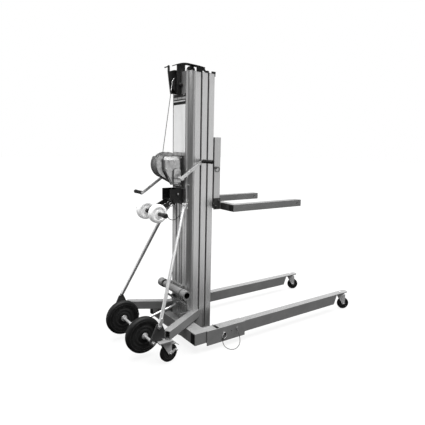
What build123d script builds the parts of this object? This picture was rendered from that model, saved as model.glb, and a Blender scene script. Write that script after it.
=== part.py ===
from build123d import *

import os
from math import cos, hypot, pi, radians, sin, sqrt, tan

# Duct lift: a hand winch draws one cable through three nested aluminium mast sections and
# raises a carriage with two forks, over a straddle base on casters.
# Sizes are in millimetres. x is to the right, y forward along the forks, z up from the floor.
# Lengths called back, front or y are measured from the back face of the mast.

# Mast extrusions
MAST_WIDTH = 244.0
MAST_TOP = 1913.0
MAST_FOOT = 66.0
SECTION_PITCH = 56.0
SECTION_GAP = 9.0
COLUMN_DEPTH = 50.0
COLUMN_WIDTH = 38.0
COLUMN_BORE = 8.0
OUTER_WEB = 8.0
WALL = 5.0
WEB = 6.0
LIP = 6.0
LIP_WIDTH = 36.0
HOOK = 6.0
SLIDE_PLAY = 0.5
EDGE_RADIUS = 3.0
GROOVE_WIDTH = 4.0
GROOVE_DEPTH = 4.0
RIB_GROOVE_X = 30.0
RIB_GROOVE_WIDTH = 7.0
RIB_GROOVE_DEPTH = 4.5
PAD_RISE = 10.0
PAD_SKIRT = 22.0
PAD_THICKNESS = 5.0
PAD_PROUD = 2.5
PAD_DROP = 4.0
PAD_DEPTH = 26.0
PAD_PLAY = 4.0
STOP_RISE = 28.0
STOP_DEPTH = 37.0

# Carriage and forks
CARRIAGE_FOOT = 969.0
CARRIAGE_TOP = 1478.0
FORK_SPREAD = 580.0
FORK_LENGTH = 674.0
FORK_WIDTH = 60.0
FORK_HEIGHT = 50.0
FORK_BOTTOM = 960.0
FORK_WALL = 4.0
FORK_CHEEK = 8.0
FORK_CHEEK_TOP = 1042.0
FORK_HOLE_R = 7.0
FORK_HOLE_INSET = 42.0
PLUG = 3.0
CARRIAGE_PIN_R = 6.0
CARRIAGE_PIN_INSET = 8.0
CARRIAGE_PIN_Z = 1262.0

# Cable, pulleys and winch
CABLE_R = 2.5
GROOVE_PLAY = 0.3
RUN_PLAY = 0.05
RIM = 4.0
SHEAVE_WIDTH = 14.0
SHEAVE_PIN_R = 6.0
SHEAVE_RISE_2 = 25.0
SHEAVE_RISE_3 = 13.0
LOWER_SHEAVE_Z = 170.0
SHEAVE_PLATE = 5.0
SHEAVE_SIDE_PLAY = 1.0
GUARD = 4.0
GUARD_PLAY = 5.0
GUARD_FALL = 6.0
GUARD_POST = 12.0
TOP_PULLEY_R = 50.0
TOP_PULLEY_WIDTH = 16.0
TOP_PULLEY_Y = -10.0
TOP_PULLEY_DROP = 86.0
TOP_PIN_R = 8.0
HOOD_RISE = 61.0
HOOD_BOW = 17.0
CHEEK_X = 16.0
CHEEK_PLATE = 6.0
DRUM_Z = 1284.0
DRUM_PIN_R = 10.0
FLANGE_R = 86.0
FLANGE_T = 4.0
WINDING_R = 50.0
WINDING_TURNS = 10
WINDING_PITCH = 5.6
WINDING_GAP = 1.0
GEAR_MODULE = 3.0
DRUM_TEETH = 56
PINION_TEETH = 14
GEAR_WIDTH = 8.0
ADDENDUM = 0.8
DEDENDUM = 1.1
TOOTH_PLAY = 0.3
CRANK_BEARING = 60.0
CRANK_R = 9.0
CRANK_TURN = 34.5
CRANK_LENGTH = 205.0
CRANK_CLEARANCE = 4.0
CRANK_BAR_WIDTH = 14.0
CRANK_HUB_R = 14.0
CRANK_BAR = 8.0
GRIP_R = 14.0
GRIP_LENGTH = 118.0
GRIP_PIN_R = 6.0
PLATE_T = 4.0
WINCH_PLATE_X = 42.0
WINCH_MOUNT = 14.0
BASE_PLATE = 5.0
DRUM_CLEARANCE = 3.0
COVER_THICKNESS = 26.0
BOSS_THICKNESS = 14.0
LEFT_BOSS = 14.0

# Loading wheels above the rear of the mast
LOADING_Y = -220.0
LOADING_Z = 958.0
LOADING_WHEEL_R = 64.0
LOADING_WHEEL_WIDTH = 50.0
LOADING_WHEEL_X = 93.0
LOADING_AXLE_R = 9.0
LOADING_REACH = 212.0
LOADING_BOX_HALF = 60.0
LOADING_BOX_DEPTH = 104.0
LOADING_BOX_BOTTOM = 1004.0
LOADING_BOX_TOP = 1114.0
LOADING_ARM_X = 42.0
SHEET = 6.0

# Straddle base
BASE_HALF = 340.0
TUBE_WIDTH = 58.0
TUBE_BOTTOM = 65.0
TUBE_TOP = 149.0
TUBE_WALL = 4.0
CROSS_REAR = -65.0
STUB_FRONT = 35.0
RAIL_FRONT = 115.0
MAST_CHEEK = 6.0
MAST_CHEEK_TOP = 222.0
MAST_CHEEK_FRONT = 130.0
SLEEVE_REAR = 32.0
SLEEVE_FRONT = 367.0
SLEEVE_BOTTOM = 42.0
SLEEVE_FLOOR = 6.0
SLEEVE_WALL = 6.0
LEG_REAR = 140.0
LEG_FRONT = 1414.0
LEG_SLANT = 35.0
LEG_TIP = 1566.0
LEG_PLATE = 8.0
LEG_PIN_R = 6.0
LEG_PIN_Y = 178.0
LEG_PIN_Z = 102.0
PIN_HEAD_R = 9.0
PIN_HEAD = 10.0
RING_R = 18.0
RING_WIRE = 2.0

# Rear arms, braces and transport wheels
ARM_FRONT_X = 135.0
ARM_FRONT_Y = 42.0
ARM_REAR_X = 320.0
ARM_REAR_Y = -272.0
ARM_WIDTH = 50.0
ARM_BOTTOM = 160.0
ARM_TOP = 220.0
BRACE_R = 12.0
BRACE_TOP_X = 104.0
BRACE_TOP_Z = 1003.0
BRACE_FOOT_Y = -324.0
BRACE_FOOT_Z = 259.0
BRACKET_X = 306.0
BRACKET_PLATE = 10.0
AXLE_Y = -370.0
AXLE_Z = 160.0
AXLE_R = 10.0
STRUT_R = 9.0
STRUT_TOP_Z = 245.0
TRANSPORT_R = 125.0
TRANSPORT_WIDTH = 50.0
TRANSPORT_X = 172.0

# Casters: swivel place, wheel, height, trail and the direction that each one has rolled to
REAR_SWIVEL_X = 314.0
REAR_SWIVEL_Y = -290.0
REAR_CASTER_R = 62.5
REAR_CASTER_WIDTH = 34.0
REAR_TRAIL = 37.0
REAR_YAW = 6.0
FRONT_SWIVEL_Y = 1484.0
FRONT_CASTER_R = 50.0
FRONT_CASTER_WIDTH = 32.0
FRONT_TRAIL = 33.0
FRONT_YAW = 31.0
CASTER_PLATE = 8.0
CASTER_PLATE_WIDTH = 84.0
CASTER_PLATE_LENGTH = 100.0
KINGPIN_R = 6.0
CASTER_AXLE_R = 6.0
FORK_SHEET = 3.0
CASTER_PLAY = 2.0
SWIVEL_PLAY = 0.3

# Stabilizer sockets and the bar below them on the back of the mast
SOCKET_Y = -40.0
SOCKET_Z = 372.0
SOCKET_R = 27.0
SOCKET_BORE = 22.0
SOCKET_END = 190.0
SOCKET_LENGTH = 125.0
COLLAR_WALL = 10.0
COLLAR_LENGTH = 55.0
BAR_Y = -20.0
BAR_Z = 288.0
BAR_R = 8.0
BAR_HALF = 140.0

# Free wire lanyards
LANYARD_R = 2.0
LANYARD_BEND = 0.45

# The part's box is centred on the origin, so the mast's back face lies behind it
MAST_Y = -(LEG_TIP + AXLE_Y - TRANSPORT_R) / 2

HALF = MAST_WIDTH / 2
LIP_EDGE = HALF - LIP_WIDTH
WALL_DEPTH = SECTION_PITCH - SECTION_GAP
OUTER_FRONT = COLUMN_DEPTH + WALL_DEPTH
BACK_2 = COLUMN_DEPTH + SECTION_PITCH
BACK_3 = BACK_2 + SECTION_PITCH
BACK_CARRIAGE = BACK_3 + SECTION_PITCH
CARRIAGE_FRONT = BACK_CARRIAGE + SECTION_PITCH
CARRIAGE_PIN_Y = BACK_CARRIAGE + WEB + CARRIAGE_PIN_INSET
SHEAVE_R = SECTION_PITCH / 2
SHEAVE_Z_2 = MAST_TOP + SHEAVE_RISE_2
SHEAVE_Z_3 = MAST_TOP + SHEAVE_RISE_3
TOP_PULLEY_Z = MAST_TOP - TOP_PULLEY_DROP
HOOD_TOP = MAST_TOP + HOOD_RISE
GEAR_CENTRES = GEAR_MODULE * (DRUM_TEETH + PINION_TEETH) / 2
DRUM_SWEEP = max(FLANGE_R, GEAR_MODULE * (DRUM_TEETH / 2 + ADDENDUM))
DRUM_Y = -(WINCH_MOUNT + BASE_PLATE + DRUM_CLEARANCE + DRUM_SWEEP)
CRANK_Y = DRUM_Y + GEAR_CENTRES * cos(radians(CRANK_BEARING))
CRANK_Z = DRUM_Z - GEAR_CENTRES * sin(radians(CRANK_BEARING))

os.makedirs("parts", exist_ok=True)


def plan(z):
    """Level plane at height z: local x to the right, local y forward from the mast's back."""
    return Plane(origin=(0, MAST_Y, z), x_dir=(1, 0, 0), z_dir=(0, 0, 1))


def side(x):
    """Upright plane at x: local x forward from the mast's back, local y up, normal to the right."""
    return Plane(origin=(x, MAST_Y, 0), x_dir=(0, 1, 0), z_dir=(1, 0, 0))


def rear(y):
    """Upright plane at y, seen from behind: local x to the right, local y up, normal to the rear."""
    return Plane(origin=(0, MAST_Y + y, 0), x_dir=(1, 0, 0), z_dir=(0, -1, 0))


def at(x, y, z):
    """Point given from the mast's back face."""
    return Vector(x, MAST_Y + y, z)


def strip(x_low, x_high, y_low, y_high, mode=Mode.SUBTRACT):
    """Rectangle between two corners, in the sketch being drawn."""
    with Locations(((x_low + x_high) / 2, (y_low + y_high) / 2)):
        Rectangle(x_high - x_low, y_high - y_low, mode=mode)


def disc(x, y, radius, mode=Mode.ADD):
    """Circle at a point of the sketch being drawn."""
    with Locations((x, y)):
        Circle(radius, mode=mode)


def save(piece, label):
    """Name a finished piece, a builder or a shape, and write it to its own file."""
    shape = getattr(piece, "part", piece)
    shape.label = label
    export_step(shape, f"parts/{label}.step")


# Outer mast section: rounded rear columns, flat web between them, lips at the front
with BuildPart() as outer_mast:
    with BuildSketch(plan(MAST_FOOT)) as profile:
        column_front = COLUMN_DEPTH - GROOVE_WIDTH
        column_inner = HALF - COLUMN_WIDTH
        strip(-HALF, HALF, column_front, OUTER_FRONT, Mode.ADD)
        strip(-column_inner, column_inner, 0, column_front, Mode.ADD)
        with Locations((-column_inner, column_front), (column_inner, column_front)):
            Ellipse(COLUMN_WIDTH, column_front)
        fillet(profile.vertices().group_by(Axis.Y)[-1], EDGE_RADIUS)
        strip(WALL - HALF, HALF - WALL, COLUMN_DEPTH + WALL, OUTER_FRONT - LIP)
        strip(COLUMN_WIDTH + WALL - HALF, HALF - COLUMN_WIDTH - WALL, OUTER_WEB, COLUMN_DEPTH + WALL)
        strip(-LIP_EDGE, LIP_EDGE, OUTER_FRONT - LIP, OUTER_FRONT)
        for sign in (-1, 1):
            edge = sign * HALF
            disc(edge - sign * COLUMN_WIDTH / 2, COLUMN_DEPTH / 2, COLUMN_BORE, Mode.SUBTRACT)
            inner = edge - sign * GROOVE_DEPTH
            strip(min(edge, inner), max(edge, inner), COLUMN_DEPTH - GROOVE_WIDTH, COLUMN_DEPTH)
            shoulder = edge - sign * COLUMN_WIDTH
            strip(shoulder - GROOVE_WIDTH / 2, shoulder + GROOVE_WIDTH / 2, 0, GROOVE_DEPTH)
            rib = sign * RIB_GROOVE_X
            strip(rib - RIB_GROOVE_WIDTH / 2, rib + RIB_GROOVE_WIDTH / 2, 0, RIB_GROOVE_DEPTH)
    extrude(amount=MAST_TOP - MAST_FOOT)
    with BuildSketch(rear(0)):
        slot_half = CHEEK_X - SHEAVE_SIDE_PLAY
        slot_reach = TOP_PULLEY_R + 4 * RIM
        strip(-slot_half, slot_half, TOP_PULLEY_Z - slot_reach, TOP_PULLEY_Z + slot_reach, Mode.ADD)
    extrude(amount=-OUTER_WEB, mode=Mode.SUBTRACT)
save(outer_mast, "outer_mast")


def channel(back, wall_depth, foot, top, notch=None):
    """Mast section: a front-opening channel with two rear hooks that run behind the lips of the one before.

    A notch, given by the x and z of the sheave in it, opens the head of the web.
    """
    front = back + wall_depth
    hook_front = back - SECTION_GAP - LIP - SLIDE_PLAY
    neck = LIP_EDGE - SLIDE_PLAY
    with BuildPart() as section:
        with BuildSketch(plan(foot)) as profile:
            strip(-HALF, HALF, back, front, Mode.ADD)
            fillet(profile.vertices(), EDGE_RADIUS)
            strip(WALL - HALF, HALF - WALL, back + WEB, front - LIP)
            strip(-LIP_EDGE, LIP_EDGE, front - LIP, front)
            for sign in (-1, 1):
                stem = sorted((sign * neck, sign * (neck - HOOK)))
                flange = sorted((sign * (neck - HOOK), sign * (HALF - WALL - SLIDE_PLAY)))
                strip(*stem, hook_front - HOOK, back, Mode.ADD)
                strip(*flange, hook_front - HOOK, hook_front, Mode.ADD)
        extrude(amount=top - foot)
        if notch is not None:
            sheave_x, sheave_z = notch
            with BuildSketch(rear(back)):
                notch_half = SHEAVE_WIDTH / 2 + SHEAVE_SIDE_PLAY + SHEAVE_PLATE
                notch_foot = sheave_z - SHEAVE_R - 3 * RIM
                strip(sheave_x - notch_half, sheave_x + notch_half, notch_foot, MAST_TOP, Mode.ADD)
            extrude(amount=-WEB, mode=Mode.SUBTRACT)
    return section


mast_section_2 = channel(BACK_2, WALL_DEPTH, MAST_FOOT + SLIDE_PLAY, MAST_TOP, (-SHEAVE_R, SHEAVE_Z_2))
save(mast_section_2, "mast_section_2")
mast_section_3 = channel(BACK_3, WALL_DEPTH, MAST_FOOT + SLIDE_PLAY, MAST_TOP, (SHEAVE_R, SHEAVE_Z_3))
save(mast_section_3, "mast_section_3")

# Carriage: a short length of the same channel, with a lug on its back for the end of the cable
LUG_Y = BACK_CARRIAGE - SHEAVE_R
LUG_DROP = 100.0
LUG_Z = CARRIAGE_TOP - LUG_DROP
LUG_HEIGHT = 40.0
LUG_HALF = 9.0
carriage_channel = channel(BACK_CARRIAGE, SECTION_PITCH, CARRIAGE_FOOT, CARRIAGE_TOP)
with BuildPart() as carriage:
    add(carriage_channel.part)
    with BuildSketch(side(SHEAVE_R - LUG_HALF)):
        strip(LUG_Y - LUG_HALF, BACK_CARRIAGE, LUG_Z - LUG_HEIGHT, LUG_Z, Mode.ADD)
    extrude(amount=2 * LUG_HALF)
    with BuildSketch(side(HALF - WALL)):
        disc(CARRIAGE_PIN_Y, CARRIAGE_PIN_Z, CARRIAGE_PIN_R + RUN_PLAY)
    extrude(amount=WALL, mode=Mode.SUBTRACT)
save(carriage, "carriage")


def wear_pads(front, depth, rise):
    """Nylon pads on the two front corners of a section, with skirts before the lip and outside the wall."""
    pad_front = front + PAD_THICKNESS
    pad_out = HALF + PAD_PROUD
    with BuildPart() as pads:
        with BuildSketch(plan(MAST_TOP)):
            strip(LIP_EDGE + PAD_PLAY, pad_out, front - LIP, pad_front, Mode.ADD)
        extrude(amount=PAD_RISE)
        with BuildSketch(plan(MAST_TOP)):
            strip(HALF - WALL, pad_out, front - depth, pad_front, Mode.ADD)
        extrude(amount=rise)
        with BuildSketch(plan(MAST_TOP - PAD_DROP)):
            strip(HALF, pad_out, front - depth, pad_front, Mode.ADD)
        extrude(amount=PAD_DROP)
        with BuildSketch(plan(MAST_TOP - PAD_SKIRT)):
            strip(LIP_EDGE + PAD_PLAY, HALF, front, pad_front, Mode.ADD)
        extrude(amount=PAD_SKIRT)
        mirror(about=Plane.YZ)
    return pads


wear_pads_1 = wear_pads(OUTER_FRONT, STOP_DEPTH, STOP_RISE)
save(wear_pads_1, "wear_pads_1")


def section_head(back, sheave_x, sheave_z, guard_span, guard_reach):
    """Fittings of a mast section: wear pads, the guarded fork of the top sheave, the pin of the lower one.

    The guard's span is from its left to its right edge, its reach from the sheave to rear and front.
    """
    inner = SHEAVE_WIDTH / 2 + SHEAVE_SIDE_PLAY
    outer = inner + SHEAVE_PLATE
    foot_z = sheave_z - SHEAVE_R - 10 * RIM
    web_front = back + WEB
    lower_face = SHEAVE_R - SHEAVE_WIDTH / 2
    guard_low, guard_high = guard_span
    guard_rear = back - guard_reach[0]
    guard_front = back + guard_reach[1]
    guard_top = sheave_z + SHEAVE_R + RIM + GUARD_PLAY + GUARD
    post_y = back + SHEAVE_PIN_R
    post_middle = (post_y + GUARD_POST / 2 - guard_rear) / (guard_front - guard_rear)
    post_top = guard_top - GUARD / 2 - GUARD_FALL * post_middle
    pads = wear_pads(back + WALL_DEPTH, PAD_DEPTH, PAD_RISE)
    with BuildPart() as head:
        add(pads.part)
        for low, high in ((sheave_x - outer, sheave_x - inner), (sheave_x + inner, sheave_x + outer)):
            with BuildSketch(side(low)):
                strip(web_front, back + SHEAVE_R, foot_z, MAST_TOP, Mode.ADD)
                strip(back - SHEAVE_R / 2, back + SHEAVE_R, MAST_TOP, sheave_z, Mode.ADD)
                disc(back, sheave_z, SHEAVE_R / 2)
                strip(post_y, post_y + GUARD_POST, sheave_z, post_top, Mode.ADD)
            extrude(amount=high - low)
        with BuildSketch(side(guard_low)):
            with BuildLine():
                Polyline(
                    (guard_rear, guard_top),
                    (guard_rear, guard_top - GUARD),
                    (guard_front, guard_top - GUARD - GUARD_FALL),
                    (guard_front, guard_top - GUARD_FALL),
                    close=True,
                )
            make_face()
        extrude(amount=guard_high - guard_low)
        with BuildSketch(side(sheave_x - outer)):
            disc(back, sheave_z, SHEAVE_PIN_R)
        extrude(amount=2 * outer)
        with BuildSketch(rear(back)):
            disc(0, LOWER_SHEAVE_Z, 2 * SHEAVE_PIN_R)
        extrude(amount=lower_face - SHEAVE_SIDE_PLAY)
        with BuildSketch(rear(back)):
            disc(0, LOWER_SHEAVE_Z, SHEAVE_PIN_R)
        extrude(amount=lower_face + SHEAVE_WIDTH + SHEAVE_SIDE_PLAY)
        with BuildSketch(rear(back - lower_face - SHEAVE_WIDTH - SHEAVE_SIDE_PLAY)):
            disc(0, LOWER_SHEAVE_Z, 2 * SHEAVE_PIN_R)
        extrude(amount=SHEAVE_PLATE)
    return head


GUARD_HALF = SHEAVE_WIDTH / 2 + SHEAVE_SIDE_PLAY + SHEAVE_PLATE
GUARD_GAP = 3.0
GUARD_2_REAR = 44.0
GUARD_2_FRONT = 52.0
GUARD_3_REAR = 30.0
GUARD_3_FRONT = 20.0
GUARD_2_SPAN = (-SHEAVE_R - GUARD_HALF, SHEAVE_R - GUARD_HALF - GUARD_GAP)
GUARD_3_SPAN = (SHEAVE_R - GUARD_HALF, SHEAVE_R + GUARD_HALF)
GUARD_2_REACH = (GUARD_2_REAR, GUARD_2_FRONT)
GUARD_3_REACH = (GUARD_3_REAR, GUARD_3_FRONT)
section_2_head = section_head(BACK_2, -SHEAVE_R, SHEAVE_Z_2, GUARD_2_SPAN, GUARD_2_REACH)
save(section_2_head, "section_2_head")
section_3_head = section_head(BACK_3, SHEAVE_R, SHEAVE_Z_3, GUARD_3_SPAN, GUARD_3_REACH)
save(section_3_head, "section_3_head")


def sheave(centre, axle, pitch_radius, width, pin_radius):
    """Grooved pulley that turns about the direction axle, through centre."""
    half = width / 2
    rim = pitch_radius + RIM
    throat = CABLE_R + GROOVE_PLAY
    bore = pin_radius + RUN_PLAY
    flat = Plane(origin=centre, x_dir=axle, z_dir=Vector(axle).cross(Vector(0, 0, 1)))
    with BuildPart() as wheel:
        with BuildSketch(flat):
            with BuildLine():
                Polyline(
                    (throat, pitch_radius),
                    (half - 1, rim),
                    (half, rim),
                    (half, bore),
                    (-half, bore),
                    (-half, rim),
                    (1 - half, rim),
                    (-throat, pitch_radius),
                )
                ThreePointArc((-throat, pitch_radius), (0, pitch_radius - throat), (throat, pitch_radius))
            make_face()
        revolve(axis=Axis(centre, axle))
    return wheel


TOP_PULLEY_CENTRE = at(0, TOP_PULLEY_Y, TOP_PULLEY_Z)
top_pulley = sheave(TOP_PULLEY_CENTRE, (1, 0, 0), TOP_PULLEY_R, TOP_PULLEY_WIDTH, TOP_PIN_R)
save(top_pulley, "top_pulley")
for number, back, sheave_x, sheave_z in (
    (2, BACK_2, -SHEAVE_R, SHEAVE_Z_2),
    (3, BACK_3, SHEAVE_R, SHEAVE_Z_3),
):
    upper = sheave(at(sheave_x, back, sheave_z), (1, 0, 0), SHEAVE_R, SHEAVE_WIDTH, SHEAVE_PIN_R)
    save(upper, f"upper_sheave_{number}")
    lower = sheave(at(0, back - SHEAVE_R, LOWER_SHEAVE_Z), (0, 1, 0), SHEAVE_R, SHEAVE_WIDTH, SHEAVE_PIN_R)
    save(lower, f"lower_sheave_{number}")

# Pulley bracket on the mast's head: a tall near cheek, a long far cheek, a hood, a pulley pin, a keeper pin
CHEEK_DROP = 148.0
SHOULDER_DROP = 3.0
HEAD_RISE = 13.0
KEEPER_RISE = 32.0
CHEEK_FOOT = MAST_TOP - CHEEK_DROP
CHEEK_SHOULDER = MAST_TOP - SHOULDER_DROP
CHEEK_HEAD = MAST_TOP + HEAD_RISE
FAR_CHEEK_BACK = -84.0
FAR_CHEEK_LOW_BACK = -64.0
NEAR_CHEEK_BACK = -34.0
NEAR_CHEEK_FRONT = 30.0
HOOD_REAR = -42.0
HOOD_FRONT = 58.0
HOOD_HALF = 34.0
KEEPER_Y = -77.0
KEEPER_Z = MAST_TOP + KEEPER_RISE
KEEPER_R = 4.0
KEEPER_LENGTH = 58.0
FOOT_BAND = 18.0
with BuildPart() as pulley_bracket:
    with BuildSketch(side(-CHEEK_X - CHEEK_PLATE)):
        with BuildLine():
            Polyline(
                (0, CHEEK_FOOT),
                (FAR_CHEEK_LOW_BACK, CHEEK_FOOT),
                (FAR_CHEEK_BACK, CHEEK_SHOULDER),
                (NEAR_CHEEK_BACK, CHEEK_HEAD),
                (0, CHEEK_HEAD),
                close=True,
            )
        make_face()
        strip(FAR_CHEEK_BACK, KEEPER_Y + 2 * KEEPER_R, CHEEK_SHOULDER, KEEPER_Z, Mode.ADD)
        disc(KEEPER_Y, KEEPER_Z, 2 * KEEPER_R)
    extrude(amount=CHEEK_PLATE)
    with BuildSketch(side(CHEEK_X)):
        strip(NEAR_CHEEK_BACK, 0, CHEEK_FOOT, MAST_TOP, Mode.ADD)
        strip(NEAR_CHEEK_BACK, NEAR_CHEEK_FRONT, MAST_TOP, HOOD_TOP - HOOD_BOW, Mode.ADD)
    extrude(amount=CHEEK_PLATE)
    with BuildSketch(side(-HOOD_HALF)):
        with BuildLine():
            crown = (HOOD_REAR + HOOD_FRONT) / 2
            rear_top = HOOD_TOP - HOOD_BOW
            crown_top = HOOD_TOP - HOOD_BOW / 8
            ThreePointArc((HOOD_REAR, rear_top), (crown, crown_top), (HOOD_FRONT, HOOD_TOP))
            Line((HOOD_FRONT, HOOD_TOP), (HOOD_FRONT, HOOD_TOP - CHEEK_PLATE))
            ThreePointArc(
                (HOOD_FRONT, HOOD_TOP - CHEEK_PLATE),
                (crown, crown_top - CHEEK_PLATE),
                (HOOD_REAR, rear_top - CHEEK_PLATE),
            )
            Line((HOOD_REAR, rear_top - CHEEK_PLATE), (HOOD_REAR, rear_top))
        make_face()
    extrude(amount=2 * HOOD_HALF)
    with BuildSketch(side(-CHEEK_X - 2 * CHEEK_PLATE)):
        disc(TOP_PULLEY_Y, TOP_PULLEY_Z, TOP_PIN_R)
    extrude(amount=2 * CHEEK_X + 4 * CHEEK_PLATE)
    with BuildSketch(side(-CHEEK_X - KEEPER_LENGTH)):
        disc(KEEPER_Y, KEEPER_Z, KEEPER_R)
    extrude(amount=KEEPER_LENGTH)
    with BuildSketch(rear(0)):
        band_half = HALF - COLUMN_WIDTH - GROOVE_WIDTH
        strip(-band_half, band_half, CHEEK_FOOT - FOOT_BAND, CHEEK_FOOT, Mode.ADD)
    extrude(amount=CHEEK_PLATE)
save(pulley_bracket, "pulley_bracket")


def cable_along(route):
    """Hoist cable of eight flats that follows a finished line."""
    with BuildPart() as cable:
        with BuildSketch(Plane(origin=route.line @ 0, z_dir=route.line % 0)):
            RegularPolygon(CABLE_R, 8)
        sweep(path=route.line)
    return cable


# Outer run: from the drum straight up to the top pulley and over it
DRUM_SPAN = hypot(DRUM_Y - TOP_PULLEY_Y, DRUM_Z - TOP_PULLEY_Z)
RUN_Y = (DRUM_Y - TOP_PULLEY_Y) / DRUM_SPAN
RUN_Z = (DRUM_Z - TOP_PULLEY_Z) / DRUM_SPAN
LEAN = (TOP_PULLEY_R - WINDING_R) / DRUM_SPAN
SQUARE = sqrt(1 - LEAN**2)
NORMAL_Y = LEAN * RUN_Y + SQUARE * RUN_Z
NORMAL_Z = LEAN * RUN_Z - SQUARE * RUN_Y
WINDING_END_X = WINDING_TURNS * WINDING_PITCH / 2
LEAVE_PULLEY = at(0, TOP_PULLEY_Y + TOP_PULLEY_R * NORMAL_Y, TOP_PULLEY_Z + TOP_PULLEY_R * NORMAL_Z)
MEET_DRUM = at(WINDING_END_X, DRUM_Y + WINDING_R * NORMAL_Y, DRUM_Z + WINDING_R * NORMAL_Z)
CABLE_UP = (LEAVE_PULLEY - MEET_DRUM).normalized()
WINDING_TAIL = sqrt((WINDING_R + 2 * CABLE_R + GROOVE_PLAY) ** 2 - WINDING_R**2)
with BuildLine() as hoist_route:
    Line(MEET_DRUM + CABLE_UP * (WINDING_TAIL + GROOVE_PLAY), LEAVE_PULLEY)
    ThreePointArc(
        LEAVE_PULLEY,
        TOP_PULLEY_CENTRE + Vector(0, 0, TOP_PULLEY_R),
        TOP_PULLEY_CENTRE + Vector(0, TOP_PULLEY_R, 0),
    )
hoist_cable = cable_along(hoist_route)
save(hoist_cable, "hoist_cable")

# Run inside the outer mast, from the top pulley down to the lower sheave of section 2
with BuildLine() as drop_2_route:
    Line(
        TOP_PULLEY_CENTRE + Vector(0, TOP_PULLEY_R, -GROOVE_PLAY),
        at(SHEAVE_R, BACK_2 - SHEAVE_R, LOWER_SHEAVE_Z + GROOVE_PLAY),
    )
cable_drop_2 = cable_along(drop_2_route)
save(cable_drop_2, "cable_drop_2")


def section_cable(back, sheave_x, sheave_z):
    """Cable of a section: under its lower sheave, up its back and over its top sheave."""
    plane_y = back - SHEAVE_R
    with BuildLine() as route:
        ThreePointArc(
            at(-sheave_x, plane_y, LOWER_SHEAVE_Z),
            at(0, plane_y, LOWER_SHEAVE_Z - SHEAVE_R),
            at(sheave_x, plane_y, LOWER_SHEAVE_Z),
        )
        Line(at(sheave_x, plane_y, LOWER_SHEAVE_Z), at(sheave_x, plane_y, sheave_z))
        ThreePointArc(
            at(sheave_x, plane_y, sheave_z),
            at(sheave_x, back, sheave_z + SHEAVE_R),
            at(sheave_x, back + SHEAVE_R, sheave_z),
        )
    return cable_along(route)


cable_section_2 = section_cable(BACK_2, -SHEAVE_R, SHEAVE_Z_2)
save(cable_section_2, "cable_section_2")
cable_section_3 = section_cable(BACK_3, SHEAVE_R, SHEAVE_Z_3)
save(cable_section_3, "cable_section_3")

with BuildLine() as drop_3_route:
    Line(
        at(-SHEAVE_R, BACK_2 + SHEAVE_R, SHEAVE_Z_2),
        at(-SHEAVE_R, BACK_2 + SHEAVE_R, LOWER_SHEAVE_Z),
    )
cable_drop_3 = cable_along(drop_3_route)
save(cable_drop_3, "cable_drop_3")
with BuildLine() as drop_carriage_route:
    Line(at(SHEAVE_R, BACK_3 + SHEAVE_R, SHEAVE_Z_3), at(SHEAVE_R, BACK_3 + SHEAVE_R, LUG_Z))
cable_drop_carriage = cable_along(drop_carriage_route)
save(cable_drop_carriage, "cable_drop_carriage")


def teeth(count, turn, centre_y, centre_z):
    """Outline of a spur gear with straight-sided teeth, the first one at the angle turn."""
    pitch_radius = GEAR_MODULE * count / 2
    addendum = ADDENDUM * GEAR_MODULE
    dedendum = DEDENDUM * GEAR_MODULE
    half_tooth = pi * GEAR_MODULE / 4 - TOOTH_PLAY
    slope = tan(radians(20 - 90 / count))
    points = []
    for tooth in range(count):
        angle = turn + 2 * pi * tooth / count
        for height, hand in ((-dedendum, -1), (addendum, -1), (addendum, 1), (-dedendum, 1)):
            out = pitch_radius + height
            aside = hand * (half_tooth - height * slope)
            y = centre_y + out * cos(angle) - aside * sin(angle)
            z = centre_z + out * sin(angle) + aside * cos(angle)
            points.append((y, z))
    Polyline(*points, close=True)


# Winch drum: a flange on the left, the core that the cable winds on, and the toothed flange on the right
DRUM_LEFT = -WINDING_END_X - CABLE_R - WINDING_GAP
DRUM_RIGHT = WINDING_END_X + CABLE_R + WINDING_GAP
DRUM_CENTRE = at(0, DRUM_Y, DRUM_Z)
MESH_ANGLE = -radians(CRANK_BEARING)
with BuildPart() as winch_drum:
    with BuildSketch(side(DRUM_LEFT - FLANGE_T)):
        disc(DRUM_Y, DRUM_Z, FLANGE_R)
    extrude(amount=FLANGE_T)
    fillet(winch_drum.edges().filter_by(GeomType.CIRCLE).sort_by(SortBy.RADIUS)[-2:], FLANGE_T / 4)
    with BuildSketch(side(DRUM_LEFT)):
        disc(DRUM_Y, DRUM_Z, WINDING_R - CABLE_R - GROOVE_PLAY / 2)
    extrude(amount=DRUM_RIGHT - DRUM_LEFT)
    with BuildSketch(side(DRUM_RIGHT)):
        with BuildLine():
            teeth(DRUM_TEETH, MESH_ANGLE, DRUM_Y, DRUM_Z)
        make_face()
    extrude(amount=GEAR_WIDTH)
    with BuildSketch(side(DRUM_LEFT - FLANGE_T)):
        disc(DRUM_Y, DRUM_Z, DRUM_PIN_R + RUN_PLAY)
    extrude(amount=DRUM_RIGHT - DRUM_LEFT + FLANGE_T + GEAR_WIDTH, mode=Mode.SUBTRACT)
save(winch_drum, "winch_drum")


def on_winding(turn):
    """Point of the wound cable, counted in turns from the end where the outer run comes in."""
    angle = 2 * pi * turn
    y = WINDING_R * (NORMAL_Y * cos(angle) - NORMAL_Z * sin(angle))
    z = WINDING_R * (NORMAL_Y * sin(angle) + NORMAL_Z * cos(angle))
    return DRUM_CENTRE + Vector(WINDING_END_X - WINDING_PITCH * turn, y, z)


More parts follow.
